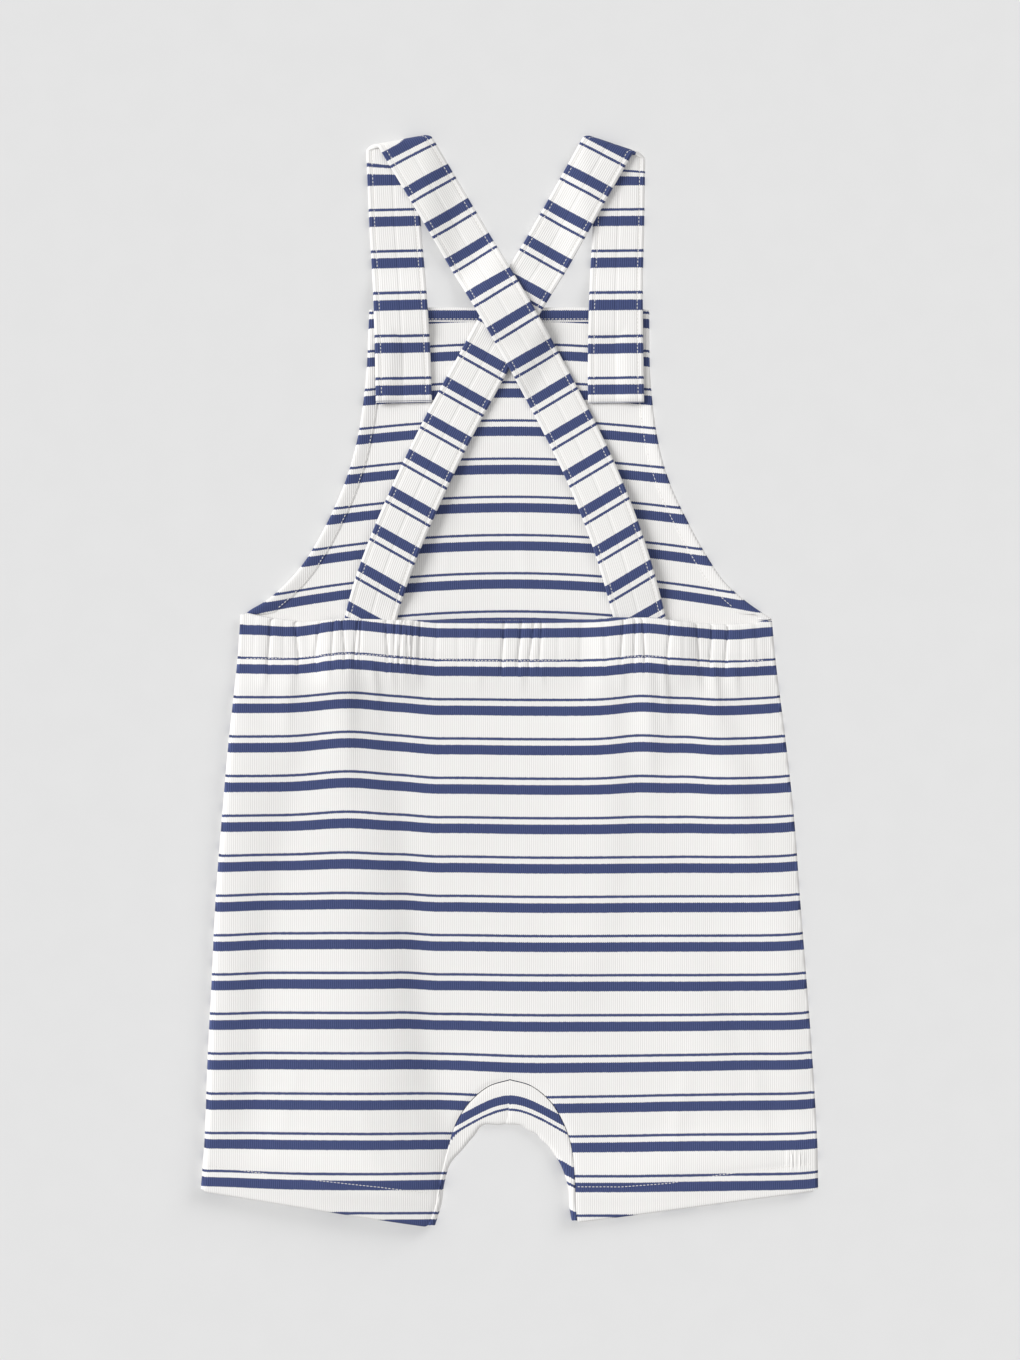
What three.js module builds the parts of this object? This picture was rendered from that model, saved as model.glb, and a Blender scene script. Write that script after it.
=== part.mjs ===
// Child's short dungarees in striped rib jersey, laid flat with the back uppermost.
// Millimetres. X runs across, Y towards the straps and Z up. The front lies on the surface at Z = 0.
// Each piece is worked out as a middle surface from the sizes below, then given its wall.

import * as THREE from 'three';

// Walls and gaps
const CLOTH = 1.0;
const STRAP_WALL = 2.0;
const SEAM_GAP = 0.3;
const LAYER = CLOTH + SEAM_GAP;
const FOLD_RADIUS = LAYER / 2;
const FRONT_MIDDLE = CLOTH / 2;
const BACK_MIDDLE = FRONT_MIDDLE + LAYER;

// Bib, casing and hems
const BIB_TOP = 164.3;
const BIB_HEM_DEPTH = 6.3;
const LEG_HEM_DEPTH = 15;
const BACK_TOP = 8.7;
const WAIST = 27;
const CASING_MIDDLE = BACK_MIDDLE + LAYER;
const PUFF_HEIGHT = 1.0;
const PUFF_SLOPE = [1, 9];

// Fullness of the cloth where it turns at its edges
const SIDE_ROUND = 1.4;
const SIDE_PUFF = 1.2;
const SIDE_PUFF_WIDTH = 14;
const CROTCH_ROUND = 1.2;
const CROTCH_PUFF = 0.9;
const CROTCH_PUFF_WIDTH = 22;
const CROTCH_RADIUS = 28;
const CROTCH_CENTRE_Y = -203;
const HEM_LIFT = 2 * LAYER;
const HEM_LIFT_FROM = 38;
const HEM_LIFT_FULL = LEG_HEM_DEPTH + 1.5;
const TURN_INSET = 0.068;

// Straps
const STRAP_WIDTH = 22.5;
const STRAP_END_WIDTH = 24.6;
const STRAP_FOLD_RADIUS = 1.3;
const STRAP_FOLD_LIFT = 2 * STRAP_FOLD_RADIUS;
const STRAP_CROSSING_LIFT = STRAP_WALL + 0.45;
const STRAP_LIFT = STRAP_WALL + SEAM_GAP;
const STRAP_HANG = 2.6;

const CASING_GAP = SEAM_GAP + 0.15;
const SIDE_SEAM_GAP = SEAM_GAP + 0.25;

const named = (columns, rows) => rows.map(
  (row) => Object.fromEntries(columns.map((column, index) => [column, row[index]])),
);

// Edge of the bib from its top corner down the armhole to the waist
const ARMHOLE = named(['y', 'left', 'right'], [
  [164.3, -61.8, 61.2],
  [132, -63.4, 61.8],
  [105.6, -67.2, 65],
  [88, -72.2, 69.8],
  [70.4, -79.8, 77.8],
  [52.8, -89.8, 87.6],
  [43, -98, 94.5],
  [35.2, -106.8, 103],
  [30.5, -114.6, 109.5],
  [27, -118.3, 115],
]);

// Side of the body from the waist to the leg hem
const SIDE = named(['y', 'left', 'right'], [
  [27, -118.3, 115],
  [8, -119.8, 116.8],
  [-26.4, -123.6, 121.2],
  [-61.6, -126.7, 125],
  [-96.8, -129.4, 127.6],
  [-132, -131.1, 130.4],
  [-167, -132.9, 133],
  [-202, -134.2, 135],
  [-223.2, -135.8, 135.4],
]);

// Edge of the crotch and the inner legs, where the front's cloth turns up to the back
const TURN = named(['leftX', 'leftY', 'rightX', 'rightY'], [
  [-3, -195.2, -3, -195.2],
  [-12, -195.7, 6, -196.1],
  [-16.3, -200, 13, -200.2],
  [-20.5, -206, 18.6, -207.2],
  [-26, -212.3, 22.6, -213.8],
  [-28.8, -221, 25.4, -222.6],
  [-29.9, -229.5, 26, -231],
  [-32.8, -239.2, 27, -237.3],
]);

// Edge of the back, arched over the crotch and down the inner legs
const ARCH = named(['leftX', 'leftY', 'rightX', 'rightY'], [
  [0, -175.3, 0, -175.3],
  [-9.4, -178.2, 9.3, -178],
  [-17.8, -185.2, 17.9, -185],
  [-23.8, -194.3, 23.7, -194.6],
  [-26.9, -203.5, 26.8, -203.6],
  [-29.3, -213, 28.2, -213.5],
  [-31.6, -222, 28.7, -222.5],
  [-32.8, -230, 28.9, -231],
  [-36, -238.8, 29.6, -237.1],
]);

// Lower edge of each leg, from its outer to its inner corner
const LEG_END = {
  left: { outer: [-135.8, -224.4], inner: [-33.9, -240.4] },
  right: { outer: [135.4, -225.2], inner: [27.3, -238.4] },
};

// Top edge and stitch line of the waist casing
const CASING = named(['x', 'top', 'bottom'], [
  [-118.3, 28.2, 9.7],
  [-103, 26, 9.6],
  [-86, 26.4, 10.4],
  [-72, 27.5, 12],
  [-54, 26.5, 10.8],
  [-26, 26.3, 9.1],
  [0, 26.4, 8.6],
  [22, 26.4, 9],
  [44, 27.6, 10.2],
  [62, 27.5, 10.7],
  [82, 25.2, 9.7],
  [95, 24.5, 9.2],
  [108, 25.3, 8.9],
  [115, 27.4, 8.8],
]);

// Gathers in the casing: place, depth as a share of the puffs' height, and half width
const GATHERS = named(['x', 'depth', 'half'], [
  [-109, 0.6, 1.7],
  [-104.5, 0.8, 1.6],
  [-94, 0.9, 2],
  [-86, 1, 1.8],
  [-78, 0.9, 1.8],
  [-73, 0.7, 1.5],
  [-67, 0.8, 1.8],
  [-53.5, 0.9, 1.8],
  [-48.5, 0.8, 1.5],
  [-44, 0.9, 1.5],
  [-40.5, 0.7, 1.3],
  [-36, 0.8, 1.5],
  [-32, 0.7, 1.5],
  [-23, 0.4, 2],
  [-14.5, 0.8, 2],
  [-4, 1, 2],
  [4, 0.9, 2],
  [11.5, 0.8, 2],
  [21, 0.4, 2.2],
  [31, 0.4, 2.2],
  [40, 0.5, 2],
  [48.5, 0.9, 1.8],
  [54.5, 0.8, 1.8],
  [59.5, 0.7, 1.6],
  [69.5, 0.9, 1.8],
  [76.5, 0.8, 1.8],
  [82.5, 0.9, 1.7],
  [87.5, 0.7, 1.5],
  [95, 1, 1.8],
  [101.5, 0.6, 1.8],
  [108, 0.8, 1.6],
]);

// Folds that run down the back from the casing
const BACK_FOLDS = named(['x', 'height', 'half', 'length'], [
  [-86, 1.0, 2.8, 24],
  [-72, 1.8, 8, 105],
  [-60, 1.0, 2.8, 20],
  [-14.5, 0.7, 3, 14],
  [4, 0.8, 3, 16],
  [48.5, 0.8, 3, 16],
  [60.5, 1.5, 7, 95],
  [66, 1.0, 2.8, 34],
  [88, 1.1, 2.8, 26],
  [98, 0.8, 2.8, 20],
]);

// Long soft folds down the back. Each rises gently from the left and falls to a valley on its
// right, given by points of the valley and the fold's height there
const LONG_FOLDS = [
  {
    flank: 9,
    reach: 40,
    valley: named(['y', 'x', 'height'], [
      [6, -86, 0],
      [-20, -87, 2],
      [-73, -96, 2.6],
      [-125, -101, 2.4],
      [-194, -109, 1.4],
      [-215, -112, 0],
    ]),
  },
  {
    flank: 14,
    reach: 60,
    valley: named(['y', 'x', 'height'], [
      [8, -53, 3],
      [-73, -47.5, 4.6],
      [-127, -42.5, 5.2],
      [-158, -38.5, 5.6],
      [-190, -31, 6],
      [-222, -24, 5],
      [-250, -18, 0],
    ]),
  },
  {
    flank: 6,
    reach: 18,
    valley: named(['y', 'x', 'height'], [
      [8, 50, 0],
      [-12, 50.5, 2.2],
      [-38, 51.5, 2],
      [-73, 51, 1],
      [-125, 44, 0.8],
      [-150, 40, 0],
    ]),
  },
  {
    flank: 9,
    reach: 26,
    valley: named(['y', 'x', 'height'], [
      [-100, 88, 0],
      [-125, 90, 0.8],
      [-158, 101, 1.6],
      [-194, 113, 1.4],
      [-220, 118, 0],
    ]),
  },
];
const VALLEY_WIDTH = 2.4;
const FOLD_TOP_FADE = 14;

// Centre line of each strap. The bib stretch runs from its sewn end up to the fold, the back
// stretch from the fold down to the casing. The fold's line is given by two points.
const STRAPS = {
  left: {
    bib: [[-46.6, 121.7], [-47.2, 145], [-48.4, 170.3], [-50.5, 199.8], [-52.3, 240]],
    back: [
      [-49, 241.2], [-36.3, 220], [-17.8, 188.9], [0.4, 158.4], [17.2, 128],
      [34, 94.6], [46.9, 62], [56.5, 29], [60.3, 11],
    ],
    fold: [[-63.4, 232.4], [-35.2, 237.6]],
  },
  right: {
    bib: [[46.6, 121.7], [46.4, 145], [46.6, 170.3], [47.7, 199.8], [48.4, 240]],
    back: [
      [46.6, 241.2], [34.8, 220.4], [17.2, 189.2], [0.2, 161], [-10.4, 141.7],
      [-27.5, 110], [-42.9, 77.4], [-53.9, 50.6], [-60.7, 29], [-64.2, 11],
    ],
    fold: [[33.9, 237.2], [59.4, 228.6]],
  },
};

const outwards = { left: -1, right: 1 };
const smooth = (from, to, value) => THREE.MathUtils.smoothstep(value, from, to);
const mix = (from, to, share) => from + (to - from) * share;
const mixPoint = (from, to, share) => from.map((value, axis) => mix(value, to[axis], share));

// Straight reading between the rows of a table whose key column rises or falls steadily
function read(table, key, column, at) {
  const rises = table[table.length - 1][key] > table[0][key];
  let row = 1;
  while (row < table.length - 1 && (rises ? table[row][key] < at : table[row][key] > at)) {
    row += 1;
  }
  const before = table[row - 1];
  const after = table[row];
  const share = (at - before[key]) / (after[key] - before[key]);
  return mix(before[column], after[column], THREE.MathUtils.clamp(share, 0, 1));
}

function curveThrough(points) {
  const corners = points.map(([x, y]) => new THREE.Vector3(x, y, 0));
  const curve = new THREE.CatmullRomCurve3(corners, false, 'centripetal');
  return (share) => {
    const point = curve.getPointAt(share);
    return [point.x, point.y];
  };
}

// Directions square to a chain that runs down one side of the garment, away from its middle line
function normalsAway(chain, side) {
  const sign = outwards[side];
  return chain.map((_, index) => {
    const before = chain[Math.max(index - 1, 0)];
    const after = chain[Math.min(index + 1, chain.length - 1)];
    const along = [after[0] - before[0], after[1] - before[1]];
    const length = Math.hypot(...along);
    return [(-sign * along[1]) / length, (sign * along[0]) / length];
  });
}

const shifted = (point, direction, distance) => [
  point[0] + direction[0] * distance,
  point[1] + direction[1] * distance,
];

const moveChain = (chain, directions, distance) => chain.map(
  (point, index) => shifted(point, directions[index], distance),
);

// Middle surface of a piece: grids of points that share their common edges
class Sheet {
  constructor() {
    this.points = [];
    this.known = new Map();
    this.faces = [];
  }

  pointId(point) {
    const key = point.map((value) => Math.round(value * 1000)).join(' ');
    if (!this.known.has(key)) {
      this.known.set(key, this.points.length);
      this.points.push(point);
    }
    return this.known.get(key);
  }

  addGrid(rows) {
    const ids = rows.map((row) => row.map((point) => this.pointId(point)));
    for (let row = 1; row < ids.length; row += 1) {
      for (let column = 1; column < ids[row].length; column += 1) {
        const a = ids[row - 1][column - 1];
        const b = ids[row - 1][column];
        const c = ids[row][column];
        const d = ids[row][column - 1];
        this.addFace(a, b, c);
        this.addFace(a, c, d);
      }
    }
    return this;
  }

  addFace(a, b, c) {
    if (a !== b && b !== c && c !== a) {
      this.faces.push([a, b, c]);
    }
  }

  normals() {
    const sums = this.points.map(() => new THREE.Vector3());
    for (const face of this.faces) {
      const [a, b, c] = face.map((id) => new THREE.Vector3(...this.points[id]));
      const across = b.sub(a).cross(c.sub(a));
      face.forEach((id) => sums[id].add(across));
    }
    return sums.map((sum) => sum.normalize());
  }

  // The piece itself: the middle surface moved out to both sides and closed along its edges
  thicken(wall) {
    const normals = this.normals();
    const count = this.points.length;
    const positions = [];
    for (const side of [wall / 2, -wall / 2]) {
      this.points.forEach((point, id) => {
        positions.push(...new THREE.Vector3(...point).addScaledVector(normals[id], side).toArray());
      });
    }
    const index = [];
    const edges = new Set();
    for (const [a, b, c] of this.faces) {
      index.push(a, b, c, a + count, c + count, b + count);
      edges.add(`${a} ${b}`).add(`${b} ${c}`).add(`${c} ${a}`);
    }
    for (const edge of edges) {
      const [a, b] = edge.split(' ').map(Number);
      if (!edges.has(`${b} ${a}`)) {
        index.push(b, a, a + count, b, a + count, b + count);
      }
    }
    const geometry = new THREE.BufferGeometry();
    geometry.setAttribute('position', new THREE.Float32BufferAttribute(positions, 3));
    geometry.setIndex(index);
    return geometry;
  }
}

// Heights of the cloth

const sideX = (y, side) => (y > WAIST ? read(ARMHOLE, 'y', side, y) : read(SIDE, 'y', side, y));
const sideOf = (x) => (x < 0 ? 'left' : 'right');

function heightAboveLegEnd(x, y) {
  const { outer, inner } = LEG_END[sideOf(x)];
  const share = (x - outer[0]) / (inner[0] - outer[0]);
  return y - mix(outer[1], inner[1], share);
}

const STRAP_FEET = [[-77.8, -47.8], [43.4, 74]];
const STRAP_FOOT_SLOPE = 8;

function strapUnderCasing(x) {
  const lifts = STRAP_FEET.map(([from, to]) => (
    smooth(from - STRAP_FOOT_SLOPE, from, x) * (1 - smooth(to, to + STRAP_FOOT_SLOPE, x))
  ));
  return Math.max(...lifts);
}

function casingLevel(x) {
  const troughs = GATHERS.map(
    (gather) => gather.depth * (1 - smooth(0, 1.6 * gather.half, Math.abs(x - gather.x))),
  );
  const toEnd = Math.min(x - CASING[0].x, CASING.at(-1).x - x);
  const puff = PUFF_HEIGHT * (1 - Math.max(...troughs)) * smooth(...PUFF_SLOPE, toEnd);
  return CASING_MIDDLE + STRAP_LIFT * strapUnderCasing(x) + puff;
}

const backFolds = (x, y) => BACK_FOLDS.reduce((sum, fold) => {
  const down = BACK_TOP - y;
  const ridge = Math.exp(-(((x - fold.x) / fold.half) ** 2));
  return sum + fold.height * ridge * smooth(0, 8, down) * (1 - smooth(8, fold.length, down));
}, 0);

function longFolds(x, y) {
  const heights = LONG_FOLDS.map(({ flank, reach, valley }) => {
    const toValley = (read(valley, 'y', 'x', y) - x) / VALLEY_WIDTH;
    const off = VALLEY_WIDTH * Math.log1p(Math.exp(toValley));
    return read(valley, 'y', 'height', y) * (1 - Math.exp(-off / flank)) * Math.exp(-((off / reach) ** 2));
  });
  const below = 1 - smooth(BACK_TOP - FOLD_TOP_FADE, BACK_TOP, y);
  return below * heights.reduce((sum, height) => sum + height, 0);
}

const SLOPE_UNDER_CASING = -14;

function backLevel(x, y) {
  const underCasing = smooth(SLOPE_UNDER_CASING, BACK_TOP, y);
  const fromSide = Math.abs(sideX(y, sideOf(x)) - x);
  const fromArch = Math.hypot(x, Math.max(0, y - CROTCH_CENTRE_Y)) - CROTCH_RADIUS;
  const lifts = [
    SIDE_PUFF * (1 - smooth(0, SIDE_PUFF_WIDTH, fromSide)) * (1 - underCasing),
    CROTCH_PUFF * (1 - smooth(0, CROTCH_PUFF_WIDTH, fromArch)),
    HEM_LIFT * (1 - smooth(HEM_LIFT_FULL, HEM_LIFT_FROM, heightAboveLegEnd(x, y))),
  ];
  const flat = lifts.reduce((rest, lift) => rest * (1 - lift / HEM_LIFT), 1);
  const casing = (casingLevel(x) - BACK_MIDDLE) * underCasing;
  return BACK_MIDDLE + HEM_LIFT * (1 - flat) + casing + backFolds(x, y) + longFolds(x, y);
}

// Slopes over which a strap comes down from the bib's hems to the bib, and from the bib to the
// surface, each given by where it starts and ends
const OFF_BIB = [BIB_TOP + 3, BIB_TOP + 17];
const OFF_TOP_HEM = [BIB_TOP - BIB_HEM_DEPTH - 13, BIB_TOP - BIB_HEM_DEPTH - 1.5];
const OFF_SIDE_HEM = [BIB_HEM_DEPTH + 3, BIB_HEM_DEPTH + 11];

// Height of a strap's underside where it lies on the surface, the bib or the bib's hems
function strapBed(x, y) {
  const onBib = 1 - smooth(...OFF_BIB, y);
  const onTopHem = smooth(...OFF_TOP_HEM, y);
  const onSideHem = 1 - smooth(...OFF_SIDE_HEM, Math.abs(sideX(y, sideOf(x)) - x));
  return LAYER * onBib * (1 + Math.max(onTopHem, onSideHem));
}

// Panels

const legShares = Array.from({ length: 11 }, (_, index) => index / 10);
const sideCurl = [30, 60, 90].map(THREE.MathUtils.degToRad);
const halfTurn = [36, 72, 108, 144, 180].map(THREE.MathUtils.degToRad);

function legChain(table, side) {
  const points = table.map((row) => [row[`${side}X`], row[`${side}Y`]]);
  return legShares.map(curveThrough(points));
}

// Rows of the leg, from the crotch to the hem: the side's height falls evenly
function sideChain(side, fromY) {
  const last = SIDE[SIDE.length - 1].y;
  return legShares.map((share) => {
    const y = mix(fromY, last, share);
    return [sideX(y, side), y];
  });
}

// A seam at the side lies midway between the front's and the back's middle
const seamLevel = (x, y) => (FRONT_MIDDLE + backLevel(x, y)) / 2;

// One half of a panel: flat columns, then columns that curl towards the side seam
function halfPanel({ side, inner, outline, columns, level, curlTo, curls }) {
  const normals = normalsAway(outline, side);
  const flatEnds = moveChain(outline, normals, -(SIDE_ROUND + CLOTH / 2));
  const rows = inner.map((start, row) => {
    const end = flatEnds[row];
    const flat = columns.map((share) => {
      const [x, y] = mixPoint(start, end, share);
      return [x, y, level(x, y)];
    });
    const edge = level(...end);
    const curl = sideCurl.map((angle) => {
      const [x, y] = shifted(end, normals[row], SIDE_ROUND * Math.sin(angle));
      const target = mix(edge, curlTo(...end), curls(end[1]));
      return [x, y, mix(target, edge, Math.cos(angle))];
    });
    return [...flat, ...curl];
  });
  const ordered = side === 'left' ? rows.map((row) => row.reverse()) : rows;
  return ordered;
}

// An edge turned over: a half round along the edge, then cloth lying parallel to the panel
function turnedEdge({ edge, out, down, depth, steps, level }) {
  const rows = [edge];
  const centre = mixPoint(edge[0], edge[edge.length - 1], 0.5);
  const inset = (point, share) => [
    mix(point[0], centre[0], share * TURN_INSET),
    mix(point[1], centre[1], share * TURN_INSET),
    point[2],
  ];
  for (const angle of halfTurn) {
    rows.push(edge.map((point) => {
      const [x, y, z] = inset(point, angle / Math.PI);
      const away = FOLD_RADIUS * Math.sin(angle);
      const drop = FOLD_RADIUS * (1 - Math.cos(angle));
      return [x + out[0] * away, y + out[1] * away, z - down * drop];
    }));
  }
  for (let step = 1; step <= steps; step += 1) {
    rows.push(edge.map((point) => {
      const [x, y] = inset(point, 1);
      const back = (depth(x) * step) / steps;
      const place = [x - out[0] * back, y - out[1] * back];
      return [...place, level(...place) - down * LAYER];
    }));
  }
  return rows;
}

function legEndOut(side) {
  const { outer, inner } = LEG_END[side];
  const along = [inner[0] - outer[0], inner[1] - outer[1]];
  const length = Math.hypot(...along);
  const sign = outwards[side];
  return [(-sign * along[1]) / length, (sign * along[0]) / length];
}

const frontLevel = () => FRONT_MIDDLE;

const FRONT_COLUMNS = [0, 0.3, 0.65, 1];
const BIB_ROWS = 12;
const BODY_ROWS = [10, -14, -45, -80, -115, -145, -172];
const FRONT_SIDE_AT_CROTCH = -172;
const BACK_SIDE_AT_ARCH = -160;

function frontHalf(side) {
  const armhole = curveThrough(ARMHOLE.map((row) => [row[side], row.y]));
  const inner = [];
  const outline = [];
  for (let row = 0; row <= BIB_ROWS; row += 1) {
    inner.push([0, mix(BIB_TOP, WAIST, row / BIB_ROWS)]);
    outline.push(armhole(row / BIB_ROWS));
  }
  for (const y of BODY_ROWS.slice(0, -1)) {
    const sideY = mix(WAIST, FRONT_SIDE_AT_CROTCH, (WAIST - y) / (WAIST - BODY_ROWS.at(-1)));
    inner.push([0, y]);
    outline.push([sideX(sideY, side), sideY]);
  }
  const turn = legChain(TURN, side);
  const turnNormals = normalsAway(turn, side).map(([x, y]) => [-x, -y]);
  const edge = moveChain(turn, turnNormals, -(CROTCH_ROUND + CLOTH / 2));
  edge[0] = [0, TURN[0].leftY + CROTCH_ROUND + CLOTH / 2];
  return {
    side,
    inner: [...inner, ...edge],
    outline: [...outline, ...sideChain(side, FRONT_SIDE_AT_CROTCH)],
    edge,
    turnNormals,
  };
}

function addLegHem(sheet, side, last, level, down) {
  const curled = sideCurl.length;
  const edge = side === 'left' ? last.slice(curled) : last.slice(0, -curled);
  const turned = turnedEdge({
    edge,
    out: legEndOut(side),
    down,
    depth: () => LEG_HEM_DEPTH,
    steps: 2,
    level,
  });
  sheet.addGrid(turned);
}

function frontPanel() {
  const sheet = new Sheet();
  const halves = ['left', 'right'].map(frontHalf);
  for (const half of halves) {
    const panel = halfPanel({
      ...half,
      columns: FRONT_COLUMNS,
      level: frontLevel,
      curlTo: (x, y) => seamLevel(x, y) - SIDE_SEAM_GAP / 2,
      curls: (y) => 1 - smooth(WAIST - 4, WAIST + 4, y),
    });
    sheet.addGrid(panel);
    addLegHem(sheet, half.side, panel.at(-1), frontLevel, -1);
  }
  sheet.addGrid(crotchTurn(halves));
  return sheet;
}

// The front's cloth where it comes round the crotch and inner legs and meets the back's arch
function crotchTurn([left, right]) {
  const seams = ['left', 'right'].map((side) => {
    const chain = legChain(ARCH, side);
    return moveChain(chain, normalsAway(chain, side), -SEAM_GAP);
  });
  seams[1][0] = [0, seams[1][0][1]];
  seams[0][0] = seams[1][0];
  const centreNormal = [0, -1];
  const across = (edge, normal, seam) => {
    const top = backLevel(...edge);
    const turned = halfTurn.map((angle) => {
      const [x, y] = shifted(edge, normal, CROTCH_ROUND * Math.sin(angle));
      return [x, y, mix(FRONT_MIDDLE, top, (1 - Math.cos(angle)) / 2)];
    });
    const flat = [0.5, 1].map((share) => {
      const [x, y] = mixPoint(edge, seam, share);
      return [x, y, backLevel(x, y)];
    });
    return [[...edge, FRONT_MIDDLE], ...turned, ...flat];
  };
  const rows = [];
  for (let row = legShares.length - 1; row > 0; row -= 1) {
    rows.push(across(left.edge[row], left.turnNormals[row], seams[0][row]));
  }
  rows.push(across(left.edge[0], centreNormal, seams[0][0]));
  for (let row = 1; row < legShares.length; row += 1) {
    rows.push(across(right.edge[row], right.turnNormals[row], seams[1][row]));
  }
  return rows.reverse();
}

const FOLLOWS_CASING_FROM = -18;
const BACK_BODY_ROWS = [BACK_TOP, 4, -2, -10, -22, -40, -62, -90, -120, -150];
const BACK_SHARES = {
  left: [0, 0.07, 0.15, 0.25, 0.38, 0.46, 0.51, 0.56, 0.61, 0.67, 0.705, 0.73, 0.755, 0.83, 0.92, 1],
  right: [0, 0.035, 0.07, 0.15, 0.26, 0.38, 0.41, 0.44, 0.48, 0.52, 0.56, 0.585, 0.65, 0.72, 0.75,
    0.775, 0.83, 0.88, 1],
};

function backPanel() {
  const sheet = new Sheet();
  for (const side of ['left', 'right']) {
    const inner = [];
    const outline = [];
    for (const y of BACK_BODY_ROWS) {
      const sideY = mix(BACK_TOP, BACK_SIDE_AT_ARCH, (BACK_TOP - y) / (BACK_TOP - ARCH[0].leftY));
      inner.push([0, y]);
      outline.push([sideX(sideY, side), sideY]);
    }
    const arch = legChain(ARCH, side);
    arch[0] = [0, arch[0][1]];
    const panel = halfPanel({
      side,
      inner: [...inner, ...arch],
      outline: [...outline, ...sideChain(side, BACK_SIDE_AT_ARCH)],
      columns: BACK_SHARES[side],
      level: backLevel,
      curlTo: (x, y) => seamLevel(x, y) + SIDE_SEAM_GAP / 2,
      curls: () => 1,
    });
    const raised = panel.map((row) => row.map(([x, y, z]) => {
      const followsCasing = smooth(FOLLOWS_CASING_FROM, BACK_TOP, y);
      return [x, y + followsCasing * (read(CASING, 'x', 'bottom', x) - CASING_GAP - BACK_TOP), z];
    }));
    sheet.addGrid(raised);
    addLegHem(sheet, side, raised.at(-1), backLevel, 1);
  }
  return sheet;
}

// Places of the casing's columns: each gather's middle and shoulders, and fill between them
function casingColumns() {
  const from = CASING[0].x + SIDE_ROUND + CLOTH / 2;
  const to = CASING[CASING.length - 1].x - SIDE_ROUND - CLOTH / 2;
  const wanted = [from, to, ...STRAP_FEET.flat()];
  for (const gather of GATHERS) {
    wanted.push(gather.x - gather.half, gather.x, gather.x + gather.half);
  }
  wanted.sort((a, b) => a - b);
  const kept = [from];
  for (const x of wanted) {
    const gap = x - kept.at(-1);
    if (gap > 6) {
      kept.push(kept.at(-1) + gap / 2);
    }
    if (x - kept.at(-1) > 0.9 && to - x > 0.9) {
      kept.push(x);
    }
  }
  kept.push(to);
  return kept;
}

function waistCasing() {
  const columns = casingColumns();
  const top = (x) => read(CASING, 'x', 'top', x) - FOLD_RADIUS - CLOTH / 2;
  const bottom = (x) => read(CASING, 'x', 'bottom', x);
  const ends = [columns[0], columns.at(-1)];
  const curled = (x, sign) => {
    const edge = casingLevel(x);
    return sideCurl.map((angle) => {
      const place = x + sign * SIDE_ROUND * Math.sin(angle);
      const target = seamLevel(x, 0) + SEAM_GAP / 2 + LAYER / 4;
      return [place, x, mix(target, edge, Math.cos(angle))];
    });
  };
  const line = [
    ...curled(ends[0], -1).reverse(),
    ...columns.map((x) => [x, x, casingLevel(x)]),
    ...curled(ends[1], 1),
  ];
  const shares = [0, 0.35, 0.7, 1];
  const outer = shares.map((share) => line.map(([x, at, z]) => [x, mix(bottom(at), top(at), share), z]));
  const edge = outer.at(-1).slice(sideCurl.length, -sideCurl.length);
  const turned = turnedEdge({
    edge,
    out: [0, 1],
    down: 1,
    depth: (x) => top(x) - bottom(x),
    steps: 2,
    level: (x) => casingLevel(x),
  });
  const sheet = new Sheet();
  sheet.addGrid(outer);
  sheet.addGrid(turned);
  return sheet;
}

const HEM_ROWS = 14;
const HEM_END_SHARE = 0.945;
const HEM_CORNER_GAP = SEAM_GAP + 0.2;

// Hems that lie on the inside of the bib
function armholeHem(side) {
  const armhole = curveThrough(ARMHOLE.map((row) => [row[side], row.y]));
  const shares = Array.from(
    { length: HEM_ROWS + 1 },
    (_, index) => (HEM_END_SHARE * index) / HEM_ROWS,
  );
  const outline = shares.map(armhole);
  const away = normalsAway(outline, side);
  const level = FRONT_MIDDLE + LAYER;
  const edges = [
    { depth: CLOTH / 2, lowest: WAIST + 2.8 },
    { depth: CLOTH / 2 + BIB_HEM_DEPTH, lowest: WAIST + 2.2 },
  ];
  const rows = outline.map((point, row) => edges.map(({ depth, lowest }) => {
    const [x, y] = shifted(point, away[row], -depth);
    return [x, Math.max(y, lowest), level];
  }));
  const sheet = new Sheet();
  sheet.addGrid(side === 'left' ? rows : rows.map((row) => row.reverse()));
  return sheet;
}

function bibTopHem() {
  const inset = BIB_HEM_DEPTH + CLOTH / 2 + HEM_CORNER_GAP;
  const from = ARMHOLE[0].left + inset;
  const to = ARMHOLE[0].right - inset;
  const level = FRONT_MIDDLE + LAYER;
  const rows = [BIB_TOP - CLOTH / 2, BIB_TOP - CLOTH / 2 - BIB_HEM_DEPTH].map(
    (y) => Array.from({ length: 7 }, (_, index) => [mix(from, to, index / 6), y, level]),
  );
  return new Sheet().addGrid(rows);
}

// Straps

const STRAP_COLUMNS = [-1, -0.5, 0, 0.5, 1];
const BIB_STRETCH_ROWS = 22;
const BACK_STRETCH_ROWS = 62;

function strapPath(points) {
  const corners = points.map(([x, y]) => new THREE.Vector3(x, y, 0));
  const curve = new THREE.CatmullRomCurve3(corners, false, 'centripetal');
  const length = curve.getLength();
  return {
    length,
    at(distance, across) {
      const share = THREE.MathUtils.clamp(distance / length, 0, 1);
      const point = curve.getPointAt(share);
      const along = curve.getTangentAt(share);
      return [point.x - along.y * across, point.y + along.x * across];
    },
  };
}

// Where a line along the strap meets the fold's line, searched between two distances
function meetFold(path, across, foldSide, from, to) {
  let low = from;
  let high = to;
  const starts = foldSide(path.at(low, across)) > 0;
  for (let step = 0; step < 40; step += 1) {
    const middle = (low + high) / 2;
    if (foldSide(path.at(middle, across)) > 0 === starts) {
      low = middle;
    } else {
      high = middle;
    }
  }
  return (low + high) / 2;
}

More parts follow.
